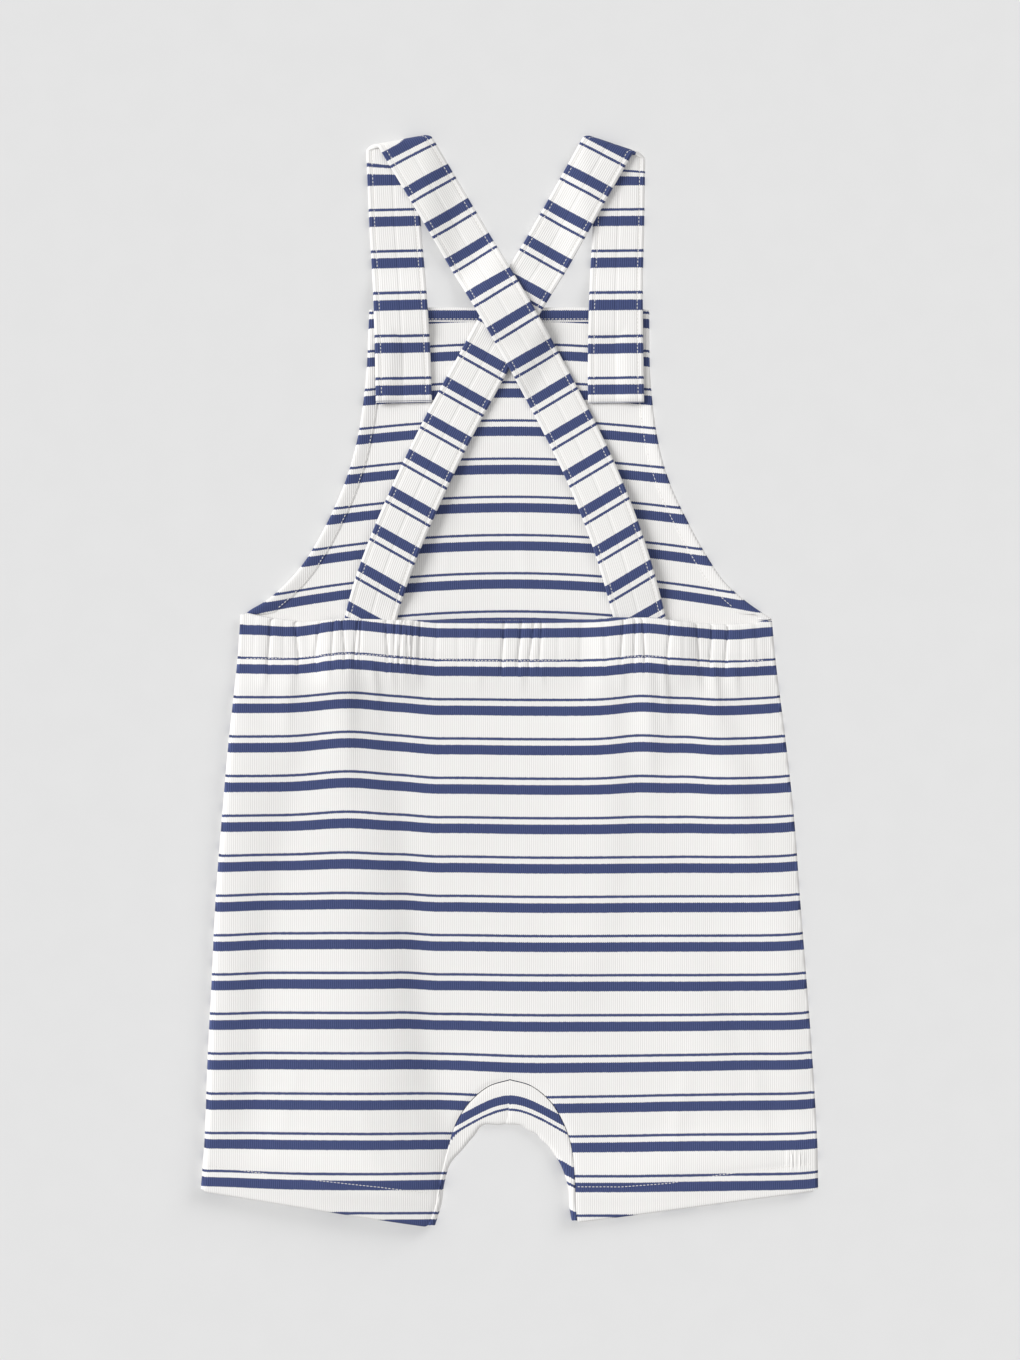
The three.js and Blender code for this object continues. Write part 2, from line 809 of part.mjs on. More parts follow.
function strapSheet(side, backLift) {
  const { bib, back, fold } = STRAPS[side];
  const bibPath = strapPath(bib);
  const backPath = strapPath(back);
  const along = [fold[1][0] - fold[0][0], fold[1][1] - fold[0][1]];
  const length = Math.hypot(...along);
  const out = [-along[1] / length, along[0] / length];
  const foldSide = ([x, y]) => (x - fold[0][0]) * out[0] + (y - fold[0][1]) * out[1];
  const middle = STRAP_WALL / 2;
  const bibEnd = STRAP_END_WIDTH / 2;
  const widen = (share) => mix(bibEnd, STRAP_WIDTH / 2, smooth(0, 0.8, share));
  const bibMeets = STRAP_COLUMNS.map(
    (column) => meetFold(bibPath, -column * STRAP_WIDTH / 2, foldSide, bibPath.length / 2, bibPath.length),
  );
  const backMeets = STRAP_COLUMNS.map(
    (column) => meetFold(backPath, column * STRAP_WIDTH / 2, foldSide, 0, backPath.length / 2),
  );
  const rows = [];
  for (let row = 0; row <= BIB_STRETCH_ROWS; row += 1) {
    const share = row / BIB_STRETCH_ROWS;
    rows.push(STRAP_COLUMNS.map((column, index) => {
      const place = bibPath.at(share * bibMeets[index], -column * widen(share));
      return [...place, strapBed(...place) + middle];
    }));
  }
  const lower = rows.at(-1);
  const upper = STRAP_COLUMNS.map((column, index) => {
    const place = backPath.at(backMeets[index], column * STRAP_WIDTH / 2);
    return [...place, backLift(...place) + middle];
  });
  for (const angle of halfTurn.slice(0, -1)) {
    rows.push(lower.map((from, index) => {
      const [x, y, z] = mixPoint(from, upper[index], (1 - Math.cos(angle)) / 2);
      const away = STRAP_FOLD_RADIUS * Math.sin(angle);
      return [x + out[0] * away, y + out[1] * away, z];
    }));
  }
  rows.push(upper);
  for (let row = 1; row <= BACK_STRETCH_ROWS; row += 1) {
    const share = row / BACK_STRETCH_ROWS;
    rows.push(STRAP_COLUMNS.map((column, index) => {
      const distance = mix(backMeets[index], backPath.length, share);
      const place = backPath.at(distance, column * STRAP_WIDTH / 2);
      return [...place, backLift(...place) + middle];
    }));
  }
  return new Sheet().addGrid(rows);
}

// Distance of a point from the middle of a strap's stretch, less half the strap's width
function beyondStrap(points, width) {
  const path = strapPath(points);
  const samples = Array.from({ length: 121 }, (_, index) => path.at((path.length * index) / 120, 0));
  return (x, y) => {
    const distances = samples.map(([px, py]) => Math.hypot(x - px, y - py));
    return Math.min(...distances) - width / 2;
  };
}

const OFF_FOLD = [2, 18];
const OFF_CROSSING = [2, 16];

// Heights between which the back stretch hangs clear of the bib above the casing
const HANG_RISE = [WAIST - 1, WAIST + 20];
const HANG_FALL = [70, 120];

function strapLevel(side) {
  const beyondBib = beyondStrap(STRAPS[side].bib, STRAP_WIDTH);
  return (x, y) => {
    const overFold = STRAP_FOLD_LIFT * (1 - smooth(...OFF_FOLD, beyondBib(x, y)));
    const hang = STRAP_HANG * smooth(...HANG_RISE, y) * (1 - smooth(...HANG_FALL, y));
    return strapBed(x, y) + overFold + hang;
  };
}

function crossingLevel() {
  const own = strapLevel('left');
  const beyondOther = beyondStrap(STRAPS.right.back, STRAP_WIDTH);
  return (x, y) => own(x, y) + STRAP_CROSSING_LIFT * (1 - smooth(...OFF_CROSSING, beyondOther(x, y)));
}

// Materials

const jersey = new THREE.MeshStandardMaterial({ color: 0xeeedeb, roughness: 0.9, metalness: 0 });
const doubledJersey = new THREE.MeshStandardMaterial({ color: 0xe9e8e6, roughness: 0.9, metalness: 0 });

function piece(name, sheet, wall, material) {
  const mesh = new THREE.Mesh(sheet.thicken(wall), material);
  mesh.name = name;
  return mesh;
}

const dungarees = new THREE.Group();
dungarees.add(
  piece('front_panel', frontPanel(), CLOTH, jersey),
  piece('back_panel', backPanel(), CLOTH, jersey),
  piece('waist_casing', waistCasing(), CLOTH, jersey),
  piece('armhole_hem_left', armholeHem('left'), CLOTH, jersey),
  piece('armhole_hem_right', armholeHem('right'), CLOTH, jersey),
  piece('bib_top_hem', bibTopHem(), CLOTH, jersey),
  piece('strap_left', strapSheet('left', crossingLevel()), STRAP_WALL, doubledJersey),
  piece('strap_right', strapSheet('right', strapLevel('right')), STRAP_WALL, doubledJersey),
);

export default dungarees;
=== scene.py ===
import math

import bpy
import numpy as np
from mathutils.bvhtree import BVHTree
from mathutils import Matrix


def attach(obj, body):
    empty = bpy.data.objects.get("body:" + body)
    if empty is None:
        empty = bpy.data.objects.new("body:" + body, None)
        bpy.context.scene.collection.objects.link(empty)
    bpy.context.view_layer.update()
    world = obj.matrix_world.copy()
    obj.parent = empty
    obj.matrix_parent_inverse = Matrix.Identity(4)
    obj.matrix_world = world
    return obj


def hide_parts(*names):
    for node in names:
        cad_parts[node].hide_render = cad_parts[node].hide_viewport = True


bl_info = {
    "name": "Striped jersey dungarees",
    "version": (1, 0, 0),
    "blender": (4, 5, 0),
    "location": "View3D > Sidebar > Dungarees",
    "description": "Child's short dungarees in striped rib jersey, laid flat with the back uppermost",
    "category": "Object",
}

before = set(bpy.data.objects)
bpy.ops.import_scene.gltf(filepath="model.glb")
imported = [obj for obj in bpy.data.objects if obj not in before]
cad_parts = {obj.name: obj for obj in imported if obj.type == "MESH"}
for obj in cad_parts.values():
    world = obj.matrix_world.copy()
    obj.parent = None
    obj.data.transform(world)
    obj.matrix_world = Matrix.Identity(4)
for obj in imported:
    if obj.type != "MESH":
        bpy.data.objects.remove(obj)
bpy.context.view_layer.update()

# Everything below is worked out in millimetres and made in metres
MM = 0.001

# Walls and gaps of the cloth
CLOTH = 1.0
STRAP_WALL = 2.0
SEAM_GAP = 0.3
LAYER = CLOTH + SEAM_GAP
FOLD_RADIUS = LAYER / 2
FRONT_MIDDLE = CLOTH / 2
BACK_MIDDLE = FRONT_MIDDLE + LAYER
VISIBLE_SEAM_GAP = 0.3
ARCH_SEAM_GAP = 0.5
SEAM_DIP = 0.3

# Bib, casing and hems
BIB_TOP = 164.3
BIB_HEM_DEPTH = 6.3
LEG_HEM_DEPTH = 15.0
BACK_TOP = 8.7
CASING_TOP = 25.2
WAIST = 27.0
CASING_MIDDLE = BACK_MIDDLE + LAYER
PUFF_HEIGHT = 0.78
PUFF_SLOPE = (1, 9)
SLOPE_UNDER_CASING = -14
FOLLOWS_CASING_FROM = -18
FULL_BELOW_CASING = 0.7

# Fullness where the cloth turns at its edges
SIDE_ROUND = 0.9
SIDE_PUFF = {"left": 1.9, "right": 0.2}
SIDE_PUFF_WIDTH = 24.0
CROTCH_ROUND = 1.2
CROTCH_PUFF = 0.9
CROTCH_PUFF_WIDTH = 22.0
CROTCH_RADIUS = 28.0
CROTCH_CENTRE_Y = -203.0
HEM_LIFT = 2 * LAYER
HEM_LIFT_FROM = 38.0
HEM_LIFT_FULL = LEG_HEM_DEPTH + 1.5
TURN_INSET = 3.6

# How deep the stitching pulls the cloth in, and how far that reaches
HEM_DENT = 0.45
HEM_ROLL = 0.25
HEM_ROLL_WIDTH = 3.5
HEM_ROLL_BELOW = 4.0
CASING_PINCH = 0.55
STITCH_DENT_WIDTH = 1.1
CASING_EDGE_DROP = 0.25

# Height of the leg hems' stitching above the leg ends: x, height
HEM_LINE = (
    (-133.0, 12.0),
    (-90.0, 13.3),
    (-57.0, 15.1),
    (-34.0, 15.6),
    (28.0, 16.0),
    (49.0, 13.4),
    (70.0, 12.4),
    (92.0, 13.4),
    (133.0, 13.4),
)

# Straps
STRAP_HANG = 2.6
STRAP_WIDTH = 22.5
STRAP_END_WIDTH = 24.6
STRAP_FOLD_RADIUS = 1.3
STRAP_FOLD_LIFT = 2 * STRAP_FOLD_RADIUS
STRAP_CROSSING_LIFT = STRAP_WALL + 0.45
STRAP_LIFT = STRAP_WALL + SEAM_GAP
STRAP_FEET = ((-77.8, -47.8), (43.4, 74.0))
STRAP_FOOT_SLOPE = 12.0

# Where a strap slopes down from what it lies on, and where it hangs clear of the bib: from, to
OFF_BIB = (BIB_TOP + 3, BIB_TOP + 17)
OFF_TOP_HEM = (BIB_TOP - BIB_HEM_DEPTH - 13, BIB_TOP - BIB_HEM_DEPTH - 1.5)
OFF_SIDE_HEM = (BIB_HEM_DEPTH + 3, BIB_HEM_DEPTH + 11)
OFF_FOLD = (2, 18)
OFF_CROSSING = (2, 16)
HANG_RISE = (WAIST - 1, WAIST + 20)
HANG_FALL = (70, 120)

# Stripes: a thick and a thin band in each repeat
STRIPE_REPEAT = 17.27
BIB_REPEAT = 16.8
STRAP_REPEAT = 17.85
THICK_BAND = 4.25
THIN_BAND = 1.15
THIN_FROM_THICK = 4.9
BAND_EDGE = 0.16
RIB_PITCH = 0.92

# Edge of the bib, from its top corner down the armhole to the waist: y, left x, right x
ARMHOLE = (
    (164.3, -61.8, 61.2),
    (132.0, -63.4, 61.8),
    (105.6, -67.2, 65.0),
    (88.0, -72.2, 69.8),
    (70.4, -79.8, 77.8),
    (52.8, -89.8, 87.6),
    (43.0, -98.0, 94.5),
    (35.2, -106.8, 103.0),
    (30.5, -114.6, 109.5),
    (27.0, -118.3, 115.0),
)

# Side of the body, from the waist to the leg hem: y, left x, right x
SIDE = (
    (27.0, -118.3, 115.0),
    (8.0, -119.8, 116.8),
    (-26.4, -123.6, 121.2),
    (-61.6, -126.7, 125.0),
    (-96.8, -129.4, 127.6),
    (-132.0, -131.1, 130.4),
    (-167.0, -132.9, 133.0),
    (-202.0, -134.2, 135.0),
    (-223.2, -135.8, 135.4),
)

# Edge of the crotch and inner legs, where the front's cloth turns up: left x, y, right x, y
TURN = (
    (-3.0, -195.2, -3.0, -195.2),
    (-12.0, -195.7, 6.0, -196.1),
    (-16.3, -200.0, 13.0, -200.2),
    (-20.5, -206.0, 18.6, -207.2),
    (-26.0, -212.3, 22.6, -213.8),
    (-28.8, -221.0, 25.4, -222.6),
    (-29.9, -229.5, 26.0, -231.0),
    (-32.8, -239.2, 27.0, -237.3),
)

# Edge of the back, arched over the crotch: left x, y, right x, y
ARCH = (
    (0.0, -175.3, 0.0, -175.3),
    (-9.4, -178.2, 9.3, -178.0),
    (-17.8, -185.2, 17.9, -185.0),
    (-23.8, -194.3, 23.7, -194.6),
    (-26.9, -203.5, 26.8, -203.6),
    (-29.3, -213.0, 28.2, -213.5),
    (-31.6, -222.0, 28.7, -222.5),
    (-32.8, -230.0, 28.9, -231.0),
    (-36.0, -238.8, 29.6, -237.1),
)

# Lower edge of each leg: its outer and inner corner
LEG_END = {
    "left": ((-135.8, -224.4), (-33.9, -240.4)),
    "right": ((135.4, -225.2), (27.3, -238.4)),
}

# Casing: x, top edge, stitch line
CASING = (
    (-118.3, 30.2, 9.7),
    (-106.0, 27.6, 9.6),
    (-90.0, 25.7, 10.2),
    (-72.0, 27.2, 12.0),
    (-54.0, 26.5, 10.8),
    (-26.0, 26.3, 9.1),
    (0.0, 26.4, 8.6),
    (22.0, 26.4, 9.0),
    (44.0, 27.6, 10.2),
    (62.0, 27.5, 10.7),
    (82.0, 25.2, 9.7),
    (95.0, 24.5, 9.2),
    (108.0, 25.3, 8.9),
    (115.0, 27.4, 8.8),
)

# Gathers in the casing: x, depth as a share of the puffs, half width, lean of the crease
GATHERS = (
    (-112.5, 0.35, 1.6, 0.3),
    (-105.7, 1.0, 1.7, 0.6),
    (-99.5, 0.3, 1.8, 0.0),
    (-93.7, 1.0, 1.8, -0.8),
    (-84.5, 1.0, 1.6, 1.0),
    (-77.9, 0.85, 1.5, 0.4),
    (-73.0, 0.95, 1.3, -0.6),
    (-67.6, 1.0, 1.1, 0.7),
    (-65.6, 0.8, 0.9, 0.2),
    (-54.1, 0.95, 1.3, -0.5),
    (-50.8, 0.8, 1.1, 0.4),
    (-48.0, 1.0, 1.0, 0.6),
    (-45.3, 0.75, 1.0, -0.3),
    (-42.9, 0.95, 0.9, 0.5),
    (-39.8, 0.9, 1.1, 0.2),
    (-32.5, 0.4, 1.8, 0.4),
    (-23.0, 0.25, 2.4, 0.0),
    (-14.5, 0.4, 2.2, 0.9),
    (-3.1, 1.0, 1.5, 0.6),
    (4.2, 1.0, 1.5, 0.9),
    (9.4, 0.85, 1.3, 1.2),
    (13.4, 0.75, 1.3, 0.6),
    (21.0, 0.25, 2.4, 0.0),
    (31.0, 0.3, 2.4, 0.4),
    (41.6, 0.55, 2.6, -0.4),
    (49.1, 0.95, 1.3, 0.6),
    (54.6, 0.85, 1.3, 0.3),
    (58.5, 0.95, 1.2, -0.5),
    (69.5, 1.0, 1.5, 0.8),
    (76.0, 0.35, 1.8, 0.0),
    (82.3, 0.75, 1.4, -0.5),
    (88.2, 0.9, 1.5, 0.5),
    (95.0, 1.0, 1.4, 0.7),
    (101.5, 0.3, 1.8, 0.0),
    (108.2, 0.55, 2.4, -0.5),
)

# Left and right flank of each gather, in shares of its half width
GATHER_FLANKS = (0.35, 0.6)

# Small folds that run down the back from the casing: x, height, half width, length, lean
BACK_FOLDS = (
    (-106.0, 0.5, 2.6, 20.0, -4.0),
    (-96.0, 0.9, 5.0, 45.0, -4.0),
    (-79.0, 0.4, 2.4, 18.0, -1.0),
    (-72.0, 1.5, 8.0, 78.0, 0.0),
    (-61.0, 0.6, 2.4, 32.0, 5.0),
    (-53.0, 0.4, 2.2, 20.0, 3.0),
    (-40.0, 0.25, 2.0, 12.0, 0.0),
    (-14.5, 0.3, 2.6, 16.0, 1.0),
    (4.0, 0.4, 2.6, 18.0, 1.0),
    (13.4, 0.35, 2.2, 16.0, 1.0),
    (48.5, 0.5, 2.6, 20.0, 1.0),
    (60.5, 1.3, 7.0, 85.0, 0.0),
    (67.0, 0.8, 2.4, 36.0, 3.0),
    (82.0, 0.5, 2.2, 18.0, 1.5),
    (89.0, 0.8, 2.6, 30.0, 3.5),
    (98.0, 0.6, 2.6, 24.0, 2.5),
)

# Left and right flank of each small fold, in shares of its half width, and the length of its rise
FOLD_FLANKS = (1.2, 0.6)
FOLD_RISE = 6.0

# Long soft folds. Each rises gently from the left and falls more steeply to a valley on its right:
# points down the valley with the fold's height there, width of the steep flank, reach of the gentle one
LONG_FOLDS = (
    (
        (
            (-86.0, 6.0, 0.0), (-88.0, -21.0, 2.0), (-95.0, -38.0, 2.4), (-101.6, -73.0, 2.6),
            (-108.0, -125.0, 2.4), (-110.5, -158.0, 2.0), (-115.0, -194.0, 1.2), (-118.0, -215.0, 0.0),
        ),
        9.0, 27.0,
    ),
    (
        (
            (-58.0, 8.0, 3.0), (-51.5, -38.0, 3.9), (-47.5, -73.0, 4.7), (-42.5, -127.0, 5.6),
            (-38.5, -158.0, 6.9), (-31.0, -190.0, 9.0), (-24.0, -222.0, 8.6), (-18.0, -250.0, 0.0),
        ),
        14.0, 60.0,
    ),
    (
        (
            (50.0, 8.0, 0.0), (50.5, -12.0, 2.2), (51.5, -38.0, 2.0), (51.0, -73.0, 1.0),
            (44.0, -125.0, 0.8), (40.0, -150.0, 0.0),
        ),
        6.0, 18.0,
    ),
    (((69.5, 8.0, 0.0), (70.0, -6.0, 1.4), (70.5, -22.0, 1.4), (71.0, -40.0, 0.0)), 4.0, 12.0),
    (
        (
            (94.0, 6.0, 0.0), (96.0, -8.0, 1.6), (98.0, -21.0, 2.2), (104.7, -38.0, 2.2),
            (111.0, -73.0, 1.5), (113.0, -95.0, 0.0),
        ),
        6.0, 18.0,
    ),
    (
        (
            (88.0, -100.0, 0.0), (90.0, -125.0, 0.8), (101.0, -158.0, 1.6), (113.0, -194.0, 1.4),
            (118.0, -220.0, 0.0),
        ),
        9.0, 26.0,
    ),
    (
        (
            (118.0, 6.0, 0.0), (121.0, -30.0, 0.9), (125.0, -62.0, 0.9), (130.4, -132.0, 0.9),
            (135.0, -202.0, 0.9), (135.6, -240.0, 0.0),
        ),
        7.0, 22.0,
    ),
)
VALLEY_WIDTH = 2.4
FOLD_TOP_FADE = 14.0
LEG_WIDENING = 0.45
WIDENS_BETWEEN = (-120, -200)
OFF_SIDE_SEAM = (-1, 3)
SMOOTH_BESIDE_SEAM = (1, 8)

# Short puckers beside the right leg's hem: x, lower end, upper end, height
PUCKERS = (
    (122.0, -214.0, -206.5, 0.6),
    (123.6, -214.5, -207.0, 0.6),
    (125.3, -214.0, -206.0, 0.55),
    (127.0, -214.5, -207.5, 0.5),
    (128.6, -213.5, -208.0, 0.45),
)
PUCKER_WIDTH = 0.45

# Soft creases over the legs: x, y, length, height, lean
SOFT_CREASES = (
    (-98.0, -188.0, 26.0, 0.2, 0.25),
    (-62.0, -200.0, 20.0, 0.2, -0.2),
    (74.0, -192.0, 24.0, 0.3, 0.2),
    (108.0, -178.0, 30.0, 0.3, -0.15),
)
SOFT_CREASE_WIDTH = 4.0

# Faint waves of cloth that has only been smoothed out: share, length in x, length in y, start
SOFT_WAVES = (
    (0.5, 17.0, -29.0, 2.471),
    (0.5, 17.0, 29.0, 0.129),
    (0.7, 11.0, 18.33, 2.1),
    (0.6, 23.0, -65.71, 0.0),
    (0.5, 41.0, 9.0, 0.0),
)
SOFT_HEIGHT = 0.07
SOFT_LIFT = 0.154

# Shallow creases of the front inside the bib: x, lower end, upper end, height, lean
FRONT_CREASES = (
    (-30.0, 40.0, 95.0, 0.22, 0.12),
    (8.0, 35.0, 80.0, 0.2, -0.1),
    (38.0, 95.0, 118.0, 0.18, 0.1),
)
FRONT_CREASE_WIDTH = 2.5

# Fuller places of the turned cloth along the crotch: x, height, half width
CROTCH_LUMPS = ((-17.5, 0.7, 2.6), (-5.0, 0.4, 4.0), (9.5, 1.0, 2.6), (15.5, 0.8, 2.0))

# The bib's hems from their fold to the cut edge: share of the depth, height, share of the wall
HEM_PROFILE = (
    (0.20, 1.74, 0.93),
    (0.40, 1.62, 0.78),
    (0.60, 1.48, 0.6),
    (0.80, 1.33, 0.39),
    (0.92, 1.22, 0.25),
    (1.00, 1.13, 0.12),
)

# Each strap: the middle line of its bib stretch up to the fold and of its back stretch down from it,
# its fold's ends, and its bands: places of the thick ones up the bib stretch and below the fold
STRAPS = {
    "left": {
        "bib": ((-46.6, 121.7), (-47.2, 145.0), (-48.4, 170.3), (-50.5, 199.8), (-52.3, 240.0)),
        "back": (
            (-49.0, 241.2), (-36.3, 220.0), (-17.8, 188.9), (0.4, 158.4), (17.2, 128.0),
            (34.0, 94.6), (46.9, 62.0), (56.5, 29.0), (60.3, 11.0),
        ),
        "fold": ((-63.4, 232.4), (-35.2, 237.6)),
        "thick": (5.6, 24.3, 42.9, 61.8, 80.1, 98.1),
        "thick_after_fold": 20.1,
        "repeat_after_fold": 17.85,
        "end_band": 1.2,
    },
    "right": {
        "bib": ((46.6, 121.7), (46.4, 145.0), (46.6, 170.3), (47.7, 199.8), (48.4, 240.0)),
        "back": (
            (46.6, 241.2), (34.8, 220.4), (17.2, 189.2), (0.2, 161.0), (-10.4, 141.7),
            (-27.5, 110.0), (-42.9, 77.4), (-53.9, 50.6), (-60.7, 29.0), (-64.2, 11.0),
        ),
        "fold": ((33.9, 237.2), (59.4, 228.6)),
        "thick": (6.0, 23.9, 43.0, 61.9, 80.2, 97.9),
        "thick_after_fold": 17.9,
        "repeat_after_fold": 17.95,
        "end_band": 0.5,
    },
}

OUTWARDS = {"left": -1.0, "right": 1.0}
SIDES = ("left", "right")


# Reading tables and curves

def smooth(start, end, value):
    share = np.clip((np.asarray(value, dtype=float) - start) / (end - start), 0, 1)
    return share * share * (3 - 2 * share)


def mix(start, end, share):
    return start + (end - start) * share


def swell(away, reach):
    """A soft ridge: 1 on its own line, fading over the reach to each side."""
    return np.exp(-((away / reach) ** 2))


def lopsided(away, half, flanks):
    """A ridge or trough with one steep flank and one gentle one, in shares of its half width."""
    return swell(away, half * np.where(away < 0, *flanks))


def column(table, index):
    return np.array([row[index] for row in table])


def curve_points(corners, steps=40):
    """Points of a smooth curve through the corners, even along its length."""
    corners = np.array(corners, dtype=float)
    ends = (2 * corners[0] - corners[1], 2 * corners[-1] - corners[-2])
    chain = np.vstack([ends[0], corners, ends[1]])
    share = np.linspace(0, 1, steps, endpoint=False)[:, None]
    drawn = []
    for a, b, c, d in zip(chain[:-3], chain[1:-2], chain[2:-1], chain[3:]):
        before, here, after = (math.sqrt(np.linalg.norm(q - p)) for p, q in ((a, b), (b, c), (c, d)))
        leave = ((b - a) / before - (c - a) / (before + here) + (c - b) / here) * here
        arrive = ((c - b) / here - (d - b) / (here + after) + (d - c) / after) * here
        square = -3 * b + 3 * c - 2 * leave - arrive
        cube = 2 * b - 2 * c + leave + arrive
        drawn.append(b + leave * share + square * share**2 + cube * share**3)
    return np.vstack(drawn + [corners[-1]])


def reached(points):
    """Length of a chain up to each of its points."""
    steps = np.linalg.norm(np.diff(points, axis=0), axis=1)
    return np.concatenate([[0], np.cumsum(steps)])


def at_lengths(points, lengths):
    """Points at lengths along a chain."""
    travelled = reached(points)
    return np.stack([np.interp(lengths, travelled, axis) for axis in points.T], axis=-1)


def along(points, shares):
    """Points at shares of a chain's length."""
    return at_lengths(points, np.asarray(shares) * reached(points)[-1])


def beyond(points, x, y, steps=160):
    """How far each place lies from the smooth line through the points."""
    line = along(curve_points(points), np.linspace(0, 1, steps))
    return np.min([np.hypot(x - line_x, y - line_y) for line_x, line_y in line], axis=0)


def normals(chain):
    """Directions square to a chain, to the left of its run."""
    step = np.gradient(chain, axis=0)
    step /= np.linalg.norm(step, axis=1)[:, None]
    return np.stack([-step[:, 1], step[:, 0]], axis=1)


def normals_away(chain, side):
    """The same for a chain that runs down one side, away from the garment's middle line."""
    return OUTWARDS[side] * normals(chain)


def side_curve(table, side):
    index = 1 if side == "left" else 2
    return curve_points([(row[index], row[0]) for row in table])


def side_table(table, side):
    drawn = side_curve(table, side)
    order = np.argsort(drawn[:, 1])
    return drawn[order, 1], drawn[order, 0]


SIDE_LINES = {side: side_table(SIDE, side) for side in SIDES}
ARMHOLE_LINES = {side: side_table(ARMHOLE, side) for side in SIDES}


def side_x(y, side):
    body = np.interp(y, *SIDE_LINES[side])
    bib = np.interp(y, *ARMHOLE_LINES[side])
    return np.where(np.asarray(y) > WAIST, bib, body)


def from_side(x, y):
    """How far in from the garment's own side a point lies."""
    return np.where(x < 0, x - side_x(y, "left"), side_x(y, "right") - x)


def above_leg_end(x, y):
    heights = []
    for side in SIDES:
        outer, inner = LEG_END[side]
        share = (x - outer[0]) / (inner[0] - outer[0])
        heights.append(y - mix(outer[1], inner[1], share))
    return np.where(x < 0, heights[0], heights[1])


def casing_top(x):
    return np.interp(x, column(CASING, 0), column(CASING, 1)) - FOLD_RADIUS - CLOTH / 2


def casing_bottom(x):
    return np.interp(x, column(CASING, 0), column(CASING, 2))


# Heights of the cloth's middle

def under_casing_straps(x):
    lifts = [
        smooth(start - STRAP_FOOT_SLOPE, start, x) * (1 - smooth(end, end + STRAP_FOOT_SLOPE, x))
        for start, end in STRAP_FEET
    ]
    return np.maximum(*lifts)


def gather_troughs(x, share):
    """Depth of the gathers, 0 to 1. The share runs from the casing's stitch line to its top."""
    trough = np.zeros_like(x)
    for place, depth, half, lean in GATHERS:
        away = x - place - lean * (2 * share - 1)
        trough = np.maximum(trough, depth * lopsided(away, half, GATHER_FLANKS))
    return trough


def puff(x, share):
    """Height of the gathers' puffs."""
    to_end = np.minimum(x - CASING[0][0], CASING[-1][0] - x)
    return PUFF_HEIGHT * (1 - gather_troughs(x, share)) * smooth(*PUFF_SLOPE, to_end)


def casing_level(x, share=0.5):
    return CASING_MIDDLE + STRAP_LIFT * under_casing_straps(x) + puff(x, share)


def back_folds(x, y):
    total = np.zeros_like(x)
    down = BACK_TOP - y
    for place, height, half, length, lean in BACK_FOLDS:
        ridge = lopsided(x - place - lean * down / length, half, FOLD_FLANKS)
        total += height * ridge * smooth(0, FOLD_RISE, down) * (1 - smooth(FOLD_RISE, length, down))
    return total


def long_folds(x, y):
    total = np.zeros_like(x)
    widening = 1 + LEG_WIDENING * smooth(*WIDENS_BETWEEN, y)
    for valley, flank, reach in LONG_FOLDS:
        down = -column(valley, 1)
        place = np.interp(-y, down, column(valley, 0))
        height = np.interp(-y, down, column(valley, 2), left=0, right=0)
        off_valley = VALLEY_WIDTH * np.logaddexp(0, (place - x) / VALLEY_WIDTH) / widening
        total += height * (1 - np.exp(-off_valley / flank)) * swell(off_valley, reach)
    clear = smooth(*OFF_SIDE_SEAM, from_side(x, y))
    return total * smooth(BACK_TOP, BACK_TOP - FOLD_TOP_FADE, y) * clear


def softness(x, y):
    """Faint unevenness of the laid cloth."""
    waves = sum(
        share * np.sin(x / in_x + y / in_y + start) for share, in_x, in_y, start in SOFT_WAVES
    )
    return SOFT_HEIGHT * waves + SOFT_LIFT


def leg_creases(x, y):
    """Short puckers beside the right leg's hem, and a few soft creases over each leg."""
    total = np.zeros_like(x)
    for place, low, high, height in PUCKERS:
        ridge = swell(x - place, PUCKER_WIDTH)
        total += height * ridge * smooth(low - 2, low + 1, y) * (1 - smooth(high - 1, high + 2, y))
    for place, middle, length, height, lean in SOFT_CREASES:
        ridge = swell(x - place - lean * (y - middle), SOFT_CREASE_WIDTH)
        total += height * ridge * swell(y - middle, length)
    return total


def back_level(x, y):
    under_casing = smooth(SLOPE_UNDER_CASING, BACK_TOP, y)
    from_arch = np.hypot(x, np.maximum(0, y - CROTCH_CENTRE_Y)) - CROTCH_RADIUS
    side_puff = np.where(x < 0, SIDE_PUFF["left"], SIDE_PUFF["right"])
    lifts = (
        side_puff * (1 - smooth(0, SIDE_PUFF_WIDTH, from_side(x, y))) * (1 - under_casing),
        CROTCH_PUFF * (1 - smooth(0, CROTCH_PUFF_WIDTH, from_arch)),
        HEM_LIFT * (1 - smooth(HEM_LIFT_FULL, HEM_LIFT_FROM, above_leg_end(x, y))),
    )
    flat = np.ones_like(x)
    for lift in lifts:
        flat = flat * (1 - lift / HEM_LIFT)
    fullness = mix(FULL_BELOW_CASING * PUFF_HEIGHT, puff(x, np.zeros_like(x)), smooth(-3, BACK_TOP, y))
    lift = CASING_MIDDLE + STRAP_LIFT * under_casing_straps(x) + fullness - BACK_MIDDLE
    return BACK_MIDDLE + HEM_LIFT * (1 - flat) + lift * under_casing + back_folds(x, y)


def hem_height(x):
    return np.interp(x, column(HEM_LINE, 0), column(HEM_LINE, 1))


def finished_back_level(x, y):
    """The back's middle with its creases and the dent along the hems' stitching."""
    off_stitches = above_leg_end(x, y) - hem_height(x)
    dent = HEM_DENT * swell(off_stitches, STITCH_DENT_WIDTH)
    roll = HEM_ROLL * swell(off_stitches + HEM_ROLL_BELOW, HEM_ROLL_WIDTH)
    clear = smooth(*SMOOTH_BESIDE_SEAM, from_side(x, y))
    soft = softness(x, y) + leg_creases(x, y) + roll - dent
    return back_level(x, y) + clear * soft + long_folds(x, y)


def seam_level(x, y):
    return (FRONT_MIDDLE + back_level(x, y)) / 2


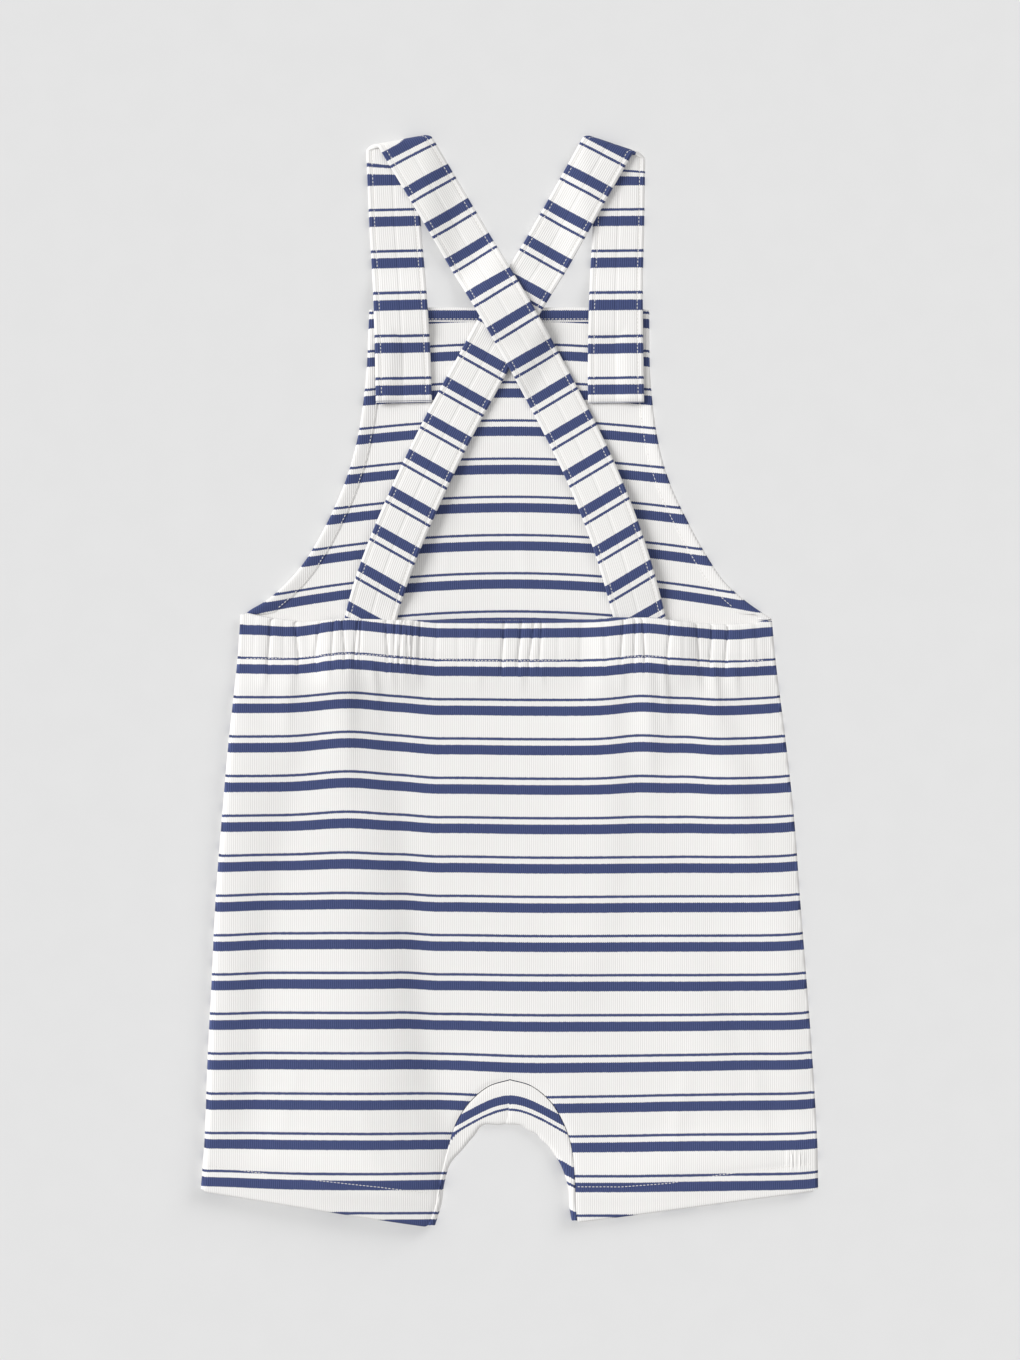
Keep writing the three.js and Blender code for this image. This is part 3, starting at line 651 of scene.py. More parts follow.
def strap_bed(x, y):
    """Height of a strap's underside on the surface, the bib or the bib's hems."""
    on_bib = 1 - smooth(*OFF_BIB, y)
    on_top_hem = smooth(*OFF_TOP_HEM, y)
    on_side_hem = 1 - smooth(*OFF_SIDE_HEM, from_side(x, y))
    return LAYER * on_bib * (1 + np.maximum(on_top_hem, on_side_hem))


# Stripe places: how far along its own stripes each point of the cloth lies

# Height of the first thick band of each piece, and how far its stripes droop to the sides
BACK_FIRST_BAND = 21.04
BIB_FIRST_BAND = 143.1
CROTCH_FIRST_BAND = -184.6
TOP_HEM_FIRST_BAND = 160.2
BIB_DROOP = 8.9e-4
CROTCH_DROOP = 0.65
CROTCH_DROOP_START = 11

# Where the laid cloth carries the back's stripes up or down.
# Places: height, middle x, reach across, middle y, reach along
STRIPE_RISES = (
    (-1.2, -93.0, 14.0, 20.0, 18.0),
    (-0.7, -20.0, 42.0, 24.0, 12.0),
    (-1.3, 98.0, 15.0, 21.0, 16.0),
    (-0.8, -128.0, 14.0, -110.0, 45.0),
    (1.2, -134.0, 26.0, -228.0, 24.0),
    (0.8, 78.0, 9.0, -25.0, 38.0),
    (-0.3, 18.0, 32.0, -85.0, 50.0),
    (-0.4, 75.0, 30.0, -222.0, 18.0),
    (0.4, 105.0, 20.0, -165.0, 26.0),
    (-0.4, -65.0, 22.0, -80.0, 32.0),
)

# Fuller stretches that run down the cloth: height, middle x, reach across, start and full y
STRIPE_SWELLS = (
    (2.1, -71.0, 17.0, -141.0, -31.0),
    (1.8, 58.0, 13.0, -83.0, -14.0),
    (0.3, -25.0, 22.0, -260.0, -250.0),
    (-1.85, 15.0, 40.0, -130.0, -190.0),
)

# Whole sides of the cloth: height, start and full x, start and full y
STRIPE_SLOPES = (
    (0.65, 85.0, 120.0, -60.0, 0.0),
    (4.8, -88.0, -104.0, 24.3, 30.0),
    (1.2, -30.0, -50.0, -205.0, -125.0),
    (-0.8, 20.0, 60.0, -120.0, -200.0),
)
RIGHT_EDGE_RISE = 1.1
RIGHT_EDGE_REACH = 9
RIGHT_EDGE_FADE = (-15, 5)
GATHER_SINK = 0.3
GATHER_SINK_FADE = (19, 24)

# Stripes of the cloth turned up over the crotch, drawn closer together on the left leg:
# distance below the first thick band, place in the weave
CROTCH_STRIPES = {
    "left": ((-20, -20), (0, 0), (3.9, 4.9), (20, 7), (42, 9), (60, 11)),
    "right": ((-20, -20), (0, 0), (3.9, 4.9), (20, 17.27), (38.4, 34.54), (60, 55)),
}
LEFT_LEG_FROM = (20, 27)
LEFT_LEG_BACK_STRIPES_BELOW = -213
LEFT_LEG_REPEATS = 14


def back_weave(x, y):
    """The stripes rise over the fuller cloth beside the gathers and settle further down."""
    to_edge = np.maximum(side_x(y, "right") - x, 0)
    rise = RIGHT_EDGE_RISE * np.exp(-to_edge / RIGHT_EDGE_REACH) * (1 - smooth(*RIGHT_EDGE_FADE, y))
    for height, middle, reach_across, level, reach_along in STRIPE_RISES:
        rise += height * swell(x - middle, reach_across) * swell(y - level, reach_along)
    for height, middle, reach, start, full in STRIPE_SWELLS:
        rise += height * swell(x - middle, reach) * smooth(start, full, y)
    for height, start_x, full_x, start_y, full_y in STRIPE_SLOPES:
        rise += height * smooth(start_x, full_x, x) * smooth(start_y, full_y, y)
    gathered = smooth(-4, BACK_TOP, y) * (1 - smooth(*GATHER_SINK_FADE, y))
    return y - BACK_FIRST_BAND - rise + GATHER_SINK * gather_troughs(x, 0.5) * gathered


def bib_weave(x, y):
    return (y - BIB_FIRST_BAND + BIB_DROOP * x**2) * STRIPE_REPEAT / BIB_REPEAT


def crotch_weave(x, y):
    """Stripes of the turned-up front: the other way up, drooping on both sides, and drawn
    closer together where the cloth turns. The left leg's lowest part runs on as the back does."""
    droop = CROTCH_DROOP * (np.hypot(x, CROTCH_DROOP_START) - CROTCH_DROOP_START)
    below = CROTCH_FIRST_BAND - y - droop
    left, right = (np.interp(below, *np.transpose(CROTCH_STRIPES[side])) for side in SIDES)
    drawn = mix(right, left, smooth(*LEFT_LEG_FROM, -x))
    runs_on = (x < 0) & (y < LEFT_LEG_BACK_STRIPES_BELOW)
    return np.where(runs_on, back_weave(x, y) + LEFT_LEG_REPEATS * STRIPE_REPEAT, drawn)


def top_hem_weave(x, y):
    return TOP_HEM_FIRST_BAND - y


# Making meshes

def only(piece):
    bpy.ops.object.select_all(action="DESELECT")
    piece.select_set(True)
    bpy.context.view_layer.objects.active = piece


def grid_sheet(name, points, weave, thickness=1.0):
    """A grid primitive drawn to the given points, with its place in the weave as its UV map.
    The thickness is each row's or column's share of the full wall."""
    rows, columns = points.shape[0] - 1, points.shape[1] - 1
    bpy.ops.object.select_all(action="DESELECT")
    bpy.ops.mesh.primitive_grid_add(x_subdivisions=columns, y_subdivisions=rows, size=1)
    piece = bpy.context.active_object
    piece.name = name
    mesh = piece.data
    flat = np.empty(len(mesh.vertices) * 3)
    mesh.vertices.foreach_get("co", flat)
    flat = flat.reshape(-1, 3)
    at_column = np.rint((flat[:, 0] + 0.5) * columns).astype(int)
    at_row = np.rint((0.5 - flat[:, 1]) * rows).astype(int)
    mesh.vertices.foreach_set("co", (points[at_row, at_column] * MM).ravel())
    corners = np.empty(len(mesh.loops), dtype=int)
    mesh.loops.foreach_get("vertex_index", corners)
    placed = weave[at_row, at_column][corners]
    while mesh.uv_layers:
        mesh.uv_layers.remove(mesh.uv_layers[0])
    layer = mesh.uv_layers.new(name="weave")
    layer.data.foreach_set("uv", (placed * MM).ravel())
    mesh.update()
    group = piece.vertex_groups.new(name="wall")
    at_vertex = np.broadcast_to(thickness, points.shape[:2])[at_row, at_column]
    for share in np.unique(at_vertex):
        group.add(np.nonzero(at_vertex == share)[0].tolist(), float(share), "REPLACE")
    return piece


def joined(name, parts):
    """Patches of one cloth joined along their common edges."""
    bpy.ops.object.select_all(action="DESELECT")
    for part in parts:
        part.select_set(True)
    bpy.context.view_layer.objects.active = parts[0]
    bpy.ops.object.join()
    piece = bpy.context.active_object
    piece.name = name
    piece.data.name = name
    bpy.ops.object.mode_set(mode="EDIT")
    bpy.ops.mesh.select_all(action="SELECT")
    bpy.ops.mesh.remove_doubles(threshold=0.02 * MM)
    bpy.ops.mesh.normals_make_consistent(inside=False)
    bpy.ops.object.mode_set(mode="OBJECT")
    return piece


def walled(piece, wall):
    """Give a sheet its wall, half to each side of its middle."""
    only(piece)
    solidify = piece.modifiers.new("wall", "SOLIDIFY")
    solidify.thickness = wall * MM
    solidify.offset = 0
    solidify.use_even_offset = False
    solidify.vertex_group = "wall"
    bpy.ops.object.modifier_apply(modifier=solidify.name)
    bpy.ops.object.shade_smooth_by_angle(angle=math.radians(50))
    return piece


def finish_piece(piece, material, nodes=()):
    piece.data.materials.clear()
    piece.data.materials.append(material)
    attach(piece, "root")
    if nodes:
        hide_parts(*nodes)
    return piece


def weave_of(points, reading):
    """Across and along the knit for an array of points."""
    x, y = points[..., 0], points[..., 1]
    return np.stack([x, reading(x, y)], axis=-1)


HALF_TURN = np.linspace(0, math.pi, 9)
QUARTER_TURN = np.linspace(0, math.pi / 2, 6)
HEM_WALL = np.array([1.0] * len(HALF_TURN) + [row[2] for row in HEM_PROFILE])


def leg_chain(table, side, shares):
    first = 0 if side == "left" else 2
    return along(curve_points([row[first:first + 2] for row in table]), shares)


def leg_end_out(side):
    return normals_away(np.array(LEG_END[side]), side)[0]


def flat_rows(inner, outline, side, inset, columns, level):
    """Rows of points from the middle line out to the edge, and that edge."""
    away = normals_away(outline, side)
    ends = outline - away * np.asarray(inset).reshape(-1, 1)
    shares = np.linspace(0, 1, columns + 1)[None, :, None]
    plan = inner[:, None, :] * (1 - shares) + ends[:, None, :] * shares
    height = level(plan[..., 0], plan[..., 1])
    return np.concatenate([plan, height[..., None]], axis=2), away


def curled_edge(edge, away, target):
    """Cloth that rolls from a panel's edge up or down to the side seam."""
    rows = []
    for angle in QUARTER_TURN:
        plan = edge[:, :2] + away * SIDE_ROUND * math.sin(angle)
        height = mix(target, edge[:, 2], math.cos(angle))
        rows.append(np.column_stack([plan, height]))
    return np.stack(rows, axis=1)


def turned_edge(edge, out, down, depth, steps, level, inset):
    """A half round along an edge, then cloth lying parallel to the panel."""
    start, end = edge[0, 0], edge[-1, 0]
    centre, half = (start + end) / 2, abs(end - start) / 2
    order = np.argsort(edge[:, 0])
    rows = []
    for angle in HALF_TURN:
        narrow = 1 - inset / half * angle / math.pi
        moved = edge.copy()
        moved[:, 0] = centre + (edge[:, 0] - centre) * narrow
        moved[:, 1] = np.interp(moved[:, 0], edge[order, 0], edge[order, 1])
        moved[:, :2] += out * FOLD_RADIUS * math.sin(angle)
        moved[:, 2] -= down * FOLD_RADIUS * (1 - math.cos(angle))
        rows.append(moved)
    last = rows[-1]
    for step in range(1, steps + 1):
        moved = last.copy()
        moved[:, :2] -= out * (np.asarray(depth) * step / steps).reshape(-1, 1)
        moved[:, 2] = level(moved[:, 0], moved[:, 1]) - down * LAYER
        rows.append(moved)
    return np.stack(rows)


def ordered(points, side):
    """Columns always run from the wearer's left to right, so that all patches face the same way."""
    return points[:, ::-1] if side == "left" else points


def side_patch(name, side, points, weave, thickness=1.0):
    return grid_sheet(name + "_" + side, ordered(points, side), ordered(weave, side), thickness)


# Front: its edges, its rows and columns, and how quickly they change at the waist

BIB_EDGE = BIB_TOP - FOLD_RADIUS - CLOTH / 2
BIB_RETURN = BIB_HEM_DEPTH - FOLD_RADIUS - CLOTH / 2
SIDE_HEM_END = WAIST + 2.2
BIB_SHARES = np.linspace(0, 1, 70)
LEG_SHARES = np.linspace(0, 1, 46)
FRONT_COLUMNS = 52
BODY_ROWS = 32
HEM_ROWS = 5
CASING_TURN_ROWS = 6
WRAP_ROWS = 8
TUCK_FROM = 0.85
EDGE_CHANGE = 2
CURL_CHANGE = 4
FRONT_SIDE_AT_CROTCH = -172.0
CROTCH_EDGE = CROTCH_ROUND + CLOTH / 2
CROTCH_TOP_Y = TURN[0][1] + CROTCH_EDGE


def front_level(x, y):
    """Flat on the surface, with shallow creases that lift it a little inside the bib."""
    lift = np.zeros_like(x)
    for place, start, end, height, lean in FRONT_CREASES:
        ridge = swell(x - place - lean * (y - start), FRONT_CREASE_WIDTH)
        lift += height * ridge * smooth(start, start + 12, y) * (1 - smooth(end - 12, end, y))
    return FRONT_MIDDLE + lift


def front_half(side):
    armhole = side_curve(ARMHOLE, side)
    armhole = along(armhole[armhole[:, 1] <= BIB_EDGE], BIB_SHARES)
    bib_inner = np.column_stack([np.zeros(len(BIB_SHARES)), mix(armhole[0, 1], WAIST, BIB_SHARES)])
    body = np.linspace(0, 1, BODY_ROWS + 2)[1:-1]
    body_inner = np.column_stack([np.zeros(len(body)), mix(WAIST, CROTCH_TOP_Y, body)])
    body_y = mix(WAIST, FRONT_SIDE_AT_CROTCH, body)
    body_outline = np.column_stack([side_x(body_y, side), body_y])
    turn = leg_chain(TURN, side, LEG_SHARES)
    to_gap = -normals_away(turn, side)
    edge = turn - to_gap * CROTCH_EDGE
    edge[0] = (0, CROTCH_TOP_Y)
    leg_y = mix(FRONT_SIDE_AT_CROTCH, SIDE[-1][0], LEG_SHARES)
    leg_outline = np.column_stack([side_x(leg_y, side), leg_y])
    return {
        "side": side,
        "inner": np.vstack([bib_inner, body_inner, edge]),
        "outline": np.vstack([armhole, body_outline, leg_outline]),
        "edge": edge,
        "to_gap": to_gap,
    }


def crotch_lumps(x):
    """Uneven fullness of the turned cloth along the crotch."""
    return sum(height * swell(x - place, half) for place, height, half in CROTCH_LUMPS)


def crotch_patch(halves):
    """The front's cloth from its crotch edge round to the back's arch."""
    rows = []
    for half in halves:
        side = half["side"]
        seam = leg_chain(ARCH, side, LEG_SHARES)
        seam = seam - normals_away(seam, side) * ARCH_SEAM_GAP
        seam[0] = (0, ARCH[0][1] - ARCH_SEAM_GAP)
        to_gap = half["to_gap"].copy()
        to_gap[0] = (0, -1)
        edge = half["edge"]
        top = finished_back_level(edge[:, 0], edge[:, 1])
        cells = []
        roll = CROTCH_ROUND + crotch_lumps(edge[:, 0])[:, None]
        for angle in HALF_TURN:
            plan = edge + to_gap * roll * math.sin(angle)
            height = mix(FRONT_MIDDLE, top, (1 - math.cos(angle)) / 2)
            cells.append(np.column_stack([plan, height]))
        for share in np.linspace(0, 1, WRAP_ROWS + 1)[1:]:
            plan = mix(edge, seam, share)
            tuck = SEAM_DIP * smooth(TUCK_FROM, 1, share)
            height = finished_back_level(plan[:, 0], plan[:, 1]) - tuck
            cells.append(np.column_stack([plan, height]))
        rows.append(np.stack(cells, axis=1))
    left, right = rows
    return np.vstack([right[:0:-1], left])


def armhole_hem(edge, away):
    """The bib's edge folded to the inside; it narrows where it runs under the casing."""
    rows = []
    for angle in HALF_TURN:
        plan = edge[:, :2] + away * FOLD_RADIUS * math.sin(angle)
        height = edge[:, 2] + FOLD_RADIUS * (1 - math.cos(angle))
        rows.append(np.column_stack([plan, height]))
    for share, height, _ in HEM_PROFILE:
        plan = edge[:, :2] - away * BIB_RETURN * share
        plan[:, 1] = np.maximum(plan[:, 1], np.minimum(SIDE_HEM_END, edge[:, 1]))
        rows.append(np.column_stack([plan, np.full(len(plan), height)]))
    return np.stack(rows, axis=1)


def bib_top_hem(edges):
    edge = np.vstack([edges[0][::-1], edges[1][1:]])
    fold = turned_edge(edge, np.array([0.0, 1.0]), -1, 0, 0, None, BIB_HEM_DEPTH + 0.3)
    rows = list(fold)
    for share, height, _ in HEM_PROFILE:
        moved = fold[-1].copy()
        moved[:, 1] -= BIB_RETURN * share
        moved[:, 2] = height
        rows.append(moved)
    return np.stack(rows)[::-1]


def make_front(wall):
    parts = []
    halves = [front_half(side) for side in SIDES]
    tops = []
    bib_rows = len(BIB_SHARES)
    for half in halves:
        side = half["side"]
        height = half["outline"][:, 1]
        on_bib = smooth(WAIST - EDGE_CHANGE, WAIST + EDGE_CHANGE, height)
        inset = mix(SIDE_ROUND, FOLD_RADIUS, on_bib) + CLOTH / 2
        rows, away = flat_rows(half["inner"], half["outline"], side, inset, FRONT_COLUMNS, front_level)
        rows[-len(LEG_SHARES):, 0, :2] = half["edge"]
        parts.append(side_patch("front", side, rows, weave_of(rows, bib_weave)))
        tops.append(rows[0])

        edge = rows[:, -1]
        hem = armhole_hem(edge[:bib_rows], away[:bib_rows])
        hem_wall = ordered(HEM_WALL[None, :], side)
        parts.append(side_patch("armhole", side, hem, weave_of(hem, bib_weave), hem_wall))

        body = edge[bib_rows - 1:]
        target = seam_level(body[:, 0], body[:, 1]) - VISIBLE_SEAM_GAP / 2
        fade = 1 - smooth(WAIST - CURL_CHANGE, WAIST + CURL_CHANGE, body[:, 1])
        curl = curled_edge(body, away[bib_rows - 1:], mix(FRONT_MIDDLE, target, fade))
        parts.append(side_patch("side", side, curl, weave_of(curl, bib_weave)))

        last = ordered(rows, side)[-1]
        turned = turned_edge(
            last, leg_end_out(side), -1, LEG_HEM_DEPTH, HEM_ROWS,
            lambda x, y: np.full_like(x, FRONT_MIDDLE), TURN_INSET,
        )
        parts.append(grid_sheet("leg_hem_" + side, turned, weave_of(turned, bib_weave)))

    top = bib_top_hem(tops)
    parts.append(grid_sheet("bib_top", top, weave_of(top, top_hem_weave), HEM_WALL[::-1, None]))
    crotch = crotch_patch(halves)
    parts.append(grid_sheet("crotch", crotch, weave_of(crotch, crotch_weave)))
    return walled(joined("front_cloth", parts), wall)


# Back: its rows and columns, close together where the cloth is gathered

BACK_COLUMNS = 156
CASING_ROWS = 11
GATHERED_ROWS = 18
PLAIN_ROWS = 48
PLAIN_FROM = -16
ROWS_ABOVE_ARCH = 4
ARCH_DIP_WIDTH = 1.2
BACK_SIDE_AT_ARCH = -160.0


def back_rows():
    """Heights of the back's rows: close together in the casing and under it."""
    casing = np.linspace(CASING_TOP, BACK_TOP, CASING_ROWS)
    gathered = np.linspace(BACK_TOP, PLAIN_FROM, GATHERED_ROWS + 1)[1:]
    plain = np.linspace(PLAIN_FROM, ARCH[0][1], PLAIN_ROWS + 2)[1:-1]
    return np.concatenate([casing, gathered, plain])


def back_place(x, y):
    """Where a point of the evenly cut back lies once its casing is gathered."""
    share = (y - BACK_TOP) / (CASING_TOP - BACK_TOP)
    in_casing = mix(casing_bottom(x), casing_top(x), share)
    below = y + smooth(FOLLOWS_CASING_FROM, BACK_TOP, y) * (casing_bottom(x) - BACK_TOP)
    placed = np.where(y > BACK_TOP, in_casing, below)
    pinch = CASING_PINCH * swell(y - BACK_TOP, STITCH_DENT_WIDTH)
    casing_height = casing_level(x, np.clip(share, 0, 1)) - CASING_EDGE_DROP * smooth(0.7, 1, share)
    height = np.where(y > BACK_TOP, casing_height, finished_back_level(x, y))
    return placed, height - pinch


def make_back(wall):
    parts = []
    row_y = back_rows()
    edges = []
    for side in SIDES:
        share = (row_y - BACK_TOP) / (ARCH[0][1] - BACK_TOP)
        side_y = np.where(row_y > BACK_TOP, row_y, mix(BACK_TOP, BACK_SIDE_AT_ARCH, share))
        inner = np.column_stack([np.zeros(len(row_y)), row_y])
        outline = np.column_stack([side_x(side_y, side), side_y])
        arch = leg_chain(ARCH, side, LEG_SHARES)
        leg_y = mix(BACK_SIDE_AT_ARCH, SIDE[-1][0], LEG_SHARES)
        leg_outline = np.column_stack([side_x(leg_y, side), leg_y])
        rows, away = flat_rows(
            np.vstack([inner, arch]), np.vstack([outline, leg_outline]), side,
            SIDE_ROUND + CLOTH / 2, BACK_COLUMNS, lambda x, y: np.zeros_like(x),
        )
        rows[..., 1], rows[..., 2] = back_place(rows[..., 0], rows[..., 1])
        weave = weave_of(rows, back_weave)
        near = rows[len(row_y) - ROWS_ABOVE_ARCH:]
        from_seam = beyond(arch, near[..., 0], near[..., 1], 240)
        near[..., 2] -= SEAM_DIP * swell(from_seam, ARCH_DIP_WIDTH)
        parts.append(side_patch("back", side, rows, weave))
        edges.append(rows)

        edge = rows[:, -1]
        target = seam_level(edge[:, 0], edge[:, 1]) + VISIBLE_SEAM_GAP / 2
        curl = curled_edge(edge, away, target)
        parts.append(side_patch("side", side, curl, np.repeat(weave[:, -1:], len(QUARTER_TURN), axis=1)))

        last = ordered(rows, side)[-1]
        out = leg_end_out(side)
        turned = turned_edge(last, out, 1, LEG_HEM_DEPTH, HEM_ROWS, back_level, TURN_INSET)
        parts.append(grid_sheet("leg_hem_" + side, turned, weave_of(turned, back_weave)))

    top = np.vstack([edges[0][0][::-1], edges[1][0][1:]])
    depth = casing_top(top[:, 0]) - casing_bottom(top[:, 0])
    casing = turned_edge(
        top, np.array([0.0, 1.0]), 1, depth, CASING_TURN_ROWS, lambda x, y: casing_level(x), TURN_INSET,
    )
    casing = casing[::-1]
    parts.append(grid_sheet("casing_turn", casing, weave_of(casing, back_weave)))
    return walled(joined("back_cloth", parts), wall)


# Straps: row step, lengths of the two stretches, rounded edges, dents, and stripes at fold and end

STRAP_STEP = 1.4
BIB_STRETCH = 115
BACK_STRETCH = 255
STRAP_ROUND = 0.09
STRAP_STITCH = 1 - 2.4 / (STRAP_WIDTH / 2)
STRAP_DENT = 0.25
STRAP_CREASE = 0.22
STRAP_DENT_WIDTH = 0.05
SKEW_AT_FOLD = 0.82
SKEW_LENGTH = 25
END_BAND_EDGE = 0.4
END_BAND_REPEATS = (-0.97, -0.9)
EDGE_TURN = np.cos(np.linspace(math.pi / 2, 0, 6)[1:]) * STRAP_ROUND + 1 - STRAP_ROUND
STRAP_COLUMNS = np.concatenate([
    -EDGE_TURN[::-1], np.linspace(STRAP_ROUND - 1, 1 - STRAP_ROUND, 47), EDGE_TURN,
])


def strap_level(side, x, y):
    """How high a strap's underside lies over its own fold and, on the left, over the other strap."""
    off_bib_stretch = beyond(STRAPS[side]["bib"], x, y) - STRAP_WIDTH / 2
    level = strap_bed(x, y) + STRAP_FOLD_LIFT * (1 - smooth(*OFF_FOLD, off_bib_stretch))
    level += STRAP_HANG * smooth(*HANG_RISE, y) * (1 - smooth(*HANG_FALL, y))
    if side == "left":
        off_other = beyond(STRAPS["right"]["back"], x, y) - STRAP_WIDTH / 2
        level += STRAP_CROSSING_LIFT * (1 - smooth(*OFF_CROSSING, off_other))
    return level


def crossing_of(line, start, out, which):
    """The row after which a line crosses a strap's fold, and the point where it does."""
    past = (line - start) @ out
    row = np.nonzero(np.diff(np.sign(past)))[0][which]
    return row, mix(line[row], line[row + 1], past[row] / (past[row] - past[row + 1]))


def strap_middle(side):
    """Middle surface of a strap, from its sewn end over the fold to the casing, and its weave."""
    facts = STRAPS[side]
    middle = STRAP_WALL / 2
    fold = np.array(facts["fold"])
    start = fold[0]
    out = normals(fold)[0]
    bib = along(curve_points(facts["bib"]), np.linspace(0, 1, 400))
    back = along(curve_points(facts["back"]), np.linspace(0, 1, 900))
    widened = smooth(0, 0.8, np.linspace(0, 1, len(bib)))[:, None]
    bib_across = normals(bib) * mix(STRAP_END_WIDTH, STRAP_WIDTH, widened) / 2
    back_across = normals(back) * STRAP_WIDTH / 2
    lower_shares = np.linspace(0, 1, int(BIB_STRETCH / STRAP_STEP))
    upper_shares = np.linspace(0, 1, int(BACK_STRETCH / STRAP_STEP))
    columns = []
    weaves = []
    for share in STRAP_COLUMNS:
        line = bib - bib_across * share
        row, meeting = crossing_of(line, start, out, -1)
        lower = np.vstack([line[:row + 1], meeting])
        line = back + back_across * share
        row, meeting = crossing_of(line, start, out, 0)
        upper = np.vstack([meeting, line[row + 1:]])
        lower_plan = along(lower, lower_shares)
        upper_plan = along(upper, upper_shares)
        lower_z = strap_bed(*lower_plan.T) + middle
        upper_z = strap_level(side, *upper_plan.T) + middle
        bend = []
        for angle in HALF_TURN[1:-1]:
            blend = (1 - math.cos(angle)) / 2
            plan = mix(lower_plan[-1], upper_plan[0], blend)
            plan = plan + out * STRAP_FOLD_RADIUS * math.sin(angle)
            bend.append([*plan, mix(lower_z[-1], upper_z[0], blend)])
        columns.append(np.vstack([
            np.column_stack([lower_plan, lower_z]), bend, np.column_stack([upper_plan, upper_z]),
        ]))
        weaves.append(strap_weave(facts, lower, upper, lower_shares, upper_shares))
    points = np.stack(columns, axis=1)
    across = STRAP_COLUMNS[None, :] * STRAP_WIDTH / 2 + np.zeros((points.shape[0], 1))
    return points, np.stack([across, np.stack(weaves, axis=1)], axis=-1)


def strap_weave(facts, lower, upper, lower_shares, upper_shares):
    """Stripes along one line of a strap, in step across the fold and square to the back stretch."""
    back = curve_points(facts["back"])
    direction = (back[20] - back[0]) / np.linalg.norm(back[20] - back[0])
    skew = (upper[0] - np.mean(facts["fold"], axis=0)) @ direction
    thick = facts["thick"]
    last = len(thick)
    below_fold = upper_shares * reached(upper)[-1]
    skew *= mix(SKEW_AT_FOLD, 1.0, smooth(0, SKEW_LENGTH, below_fold))
    past_thick = below_fold + skew - facts["thick_after_fold"]
    upper_weave = last + 1 + past_thick / facts["repeat_after_fold"]
    lower_end = upper_weave[0] - math.pi * STRAP_FOLD_RADIUS / STRAP_REPEAT
    lower_length = reached(lower)[-1]
    end_band = facts["end_band"]
    plain = end_band + END_BAND_EDGE
    lower_weave = np.interp(
        lower_shares * lower_length,
        (0, end_band, plain, *thick, lower_length),
        (*END_BAND_REPEATS, (plain - thick[0]) / STRAP_REPEAT, *range(last), lower_end),
    )
    turn = mix(lower_end, upper_weave[0], np.linspace(0, 1, len(HALF_TURN))[1:-1])
    return np.concatenate([lower_weave, turn, upper_weave]) * STRIPE_REPEAT


def surface_normals(points):
    down = np.gradient(points, axis=0)
    across = np.gradient(points, axis=1)
    normal = np.cross(across, down)
    return normal / np.linalg.norm(normal, axis=2)[..., None]


def make_strap(side):
    """A doubled strip with rounded edges, dented along its topstitching and middle crease."""
    points, weave = strap_middle(side)
    normal = surface_normals(points)
    share = STRAP_COLUMNS[None, :]
    past_flat = np.clip((np.abs(share) - 1 + STRAP_ROUND) / STRAP_ROUND, 0, 1)
    rounded = np.sqrt(1 - past_flat**2)
    dent = STRAP_DENT * swell(np.abs(share) - STRAP_STITCH, STRAP_DENT_WIDTH)
    crease = STRAP_CREASE * swell(share, STRAP_DENT_WIDTH)
    closed = np.ones((points.shape[0], 1))
    closed[[0, -1]] = 0
    half = (STRAP_WALL / 2 - dent - crease) * rounded * closed
    top = points + normal * half[..., None]
    under = points - normal * half[..., None]
    name = "strap_" + side + "_cloth"
    parts = [
        grid_sheet(name + "_top", top, weave),
        grid_sheet(name + "_under", under[:, ::-1], weave[:, ::-1]),
    ]
    piece = joined(name, parts)
    only(piece)
    bpy.ops.object.shade_smooth_by_angle(angle=math.radians(70))
    return piece


# Stitching: the thread, its stitches, and where they run on each piece

THREAD_RADIUS = 0.19
THREAD_FLATNESS = 0.7
STITCH_LENGTH = 1.15
STITCH_GAP = 0.45
SHORTEST_STITCH = 0.2
SIDE_STITCH_INSET = 0.6
TOP_STITCH_INSET = 0.7
BELOW_CASING = 0.25
CASING_SEAM = (-116.0, 113.0)
STRAP_END_SEAM = 8.0
BARE_ROWS = (3, 6)
BARE_COLUMNS = 8
ABOVE_CLOTH = 100


def stitch_pattern():
    """One stitch: a short rounded length of thread along X."""
    bpy.ops.object.select_all(action="DESELECT")
    bpy.ops.mesh.primitive_uv_sphere_add(segments=6, ring_count=5, radius=1)
    piece = bpy.context.active_object
    mesh = piece.data
    corners = np.empty(len(mesh.vertices) * 3)
    mesh.vertices.foreach_get("co", corners)
    corners = corners.reshape(-1, 3)[:, [2, 0, 1]]
    faces = [tuple(face.vertices) for face in mesh.polygons]
    bpy.data.objects.remove(piece)
    return corners, faces


def laid_on(cloth, plan):
    """Points of a plan raised to the cloth's upper face."""
    tree = BVHTree.FromObject(cloth, bpy.context.evaluated_depsgraph_get())
    line = []
    for x, y in plan * MM:
        hit = tree.ray_cast((x, y, ABOVE_CLOTH * MM), (0, 0, -1))[0]
        if hit:
            line.append(np.array(hit) / MM)
    return np.array(line)


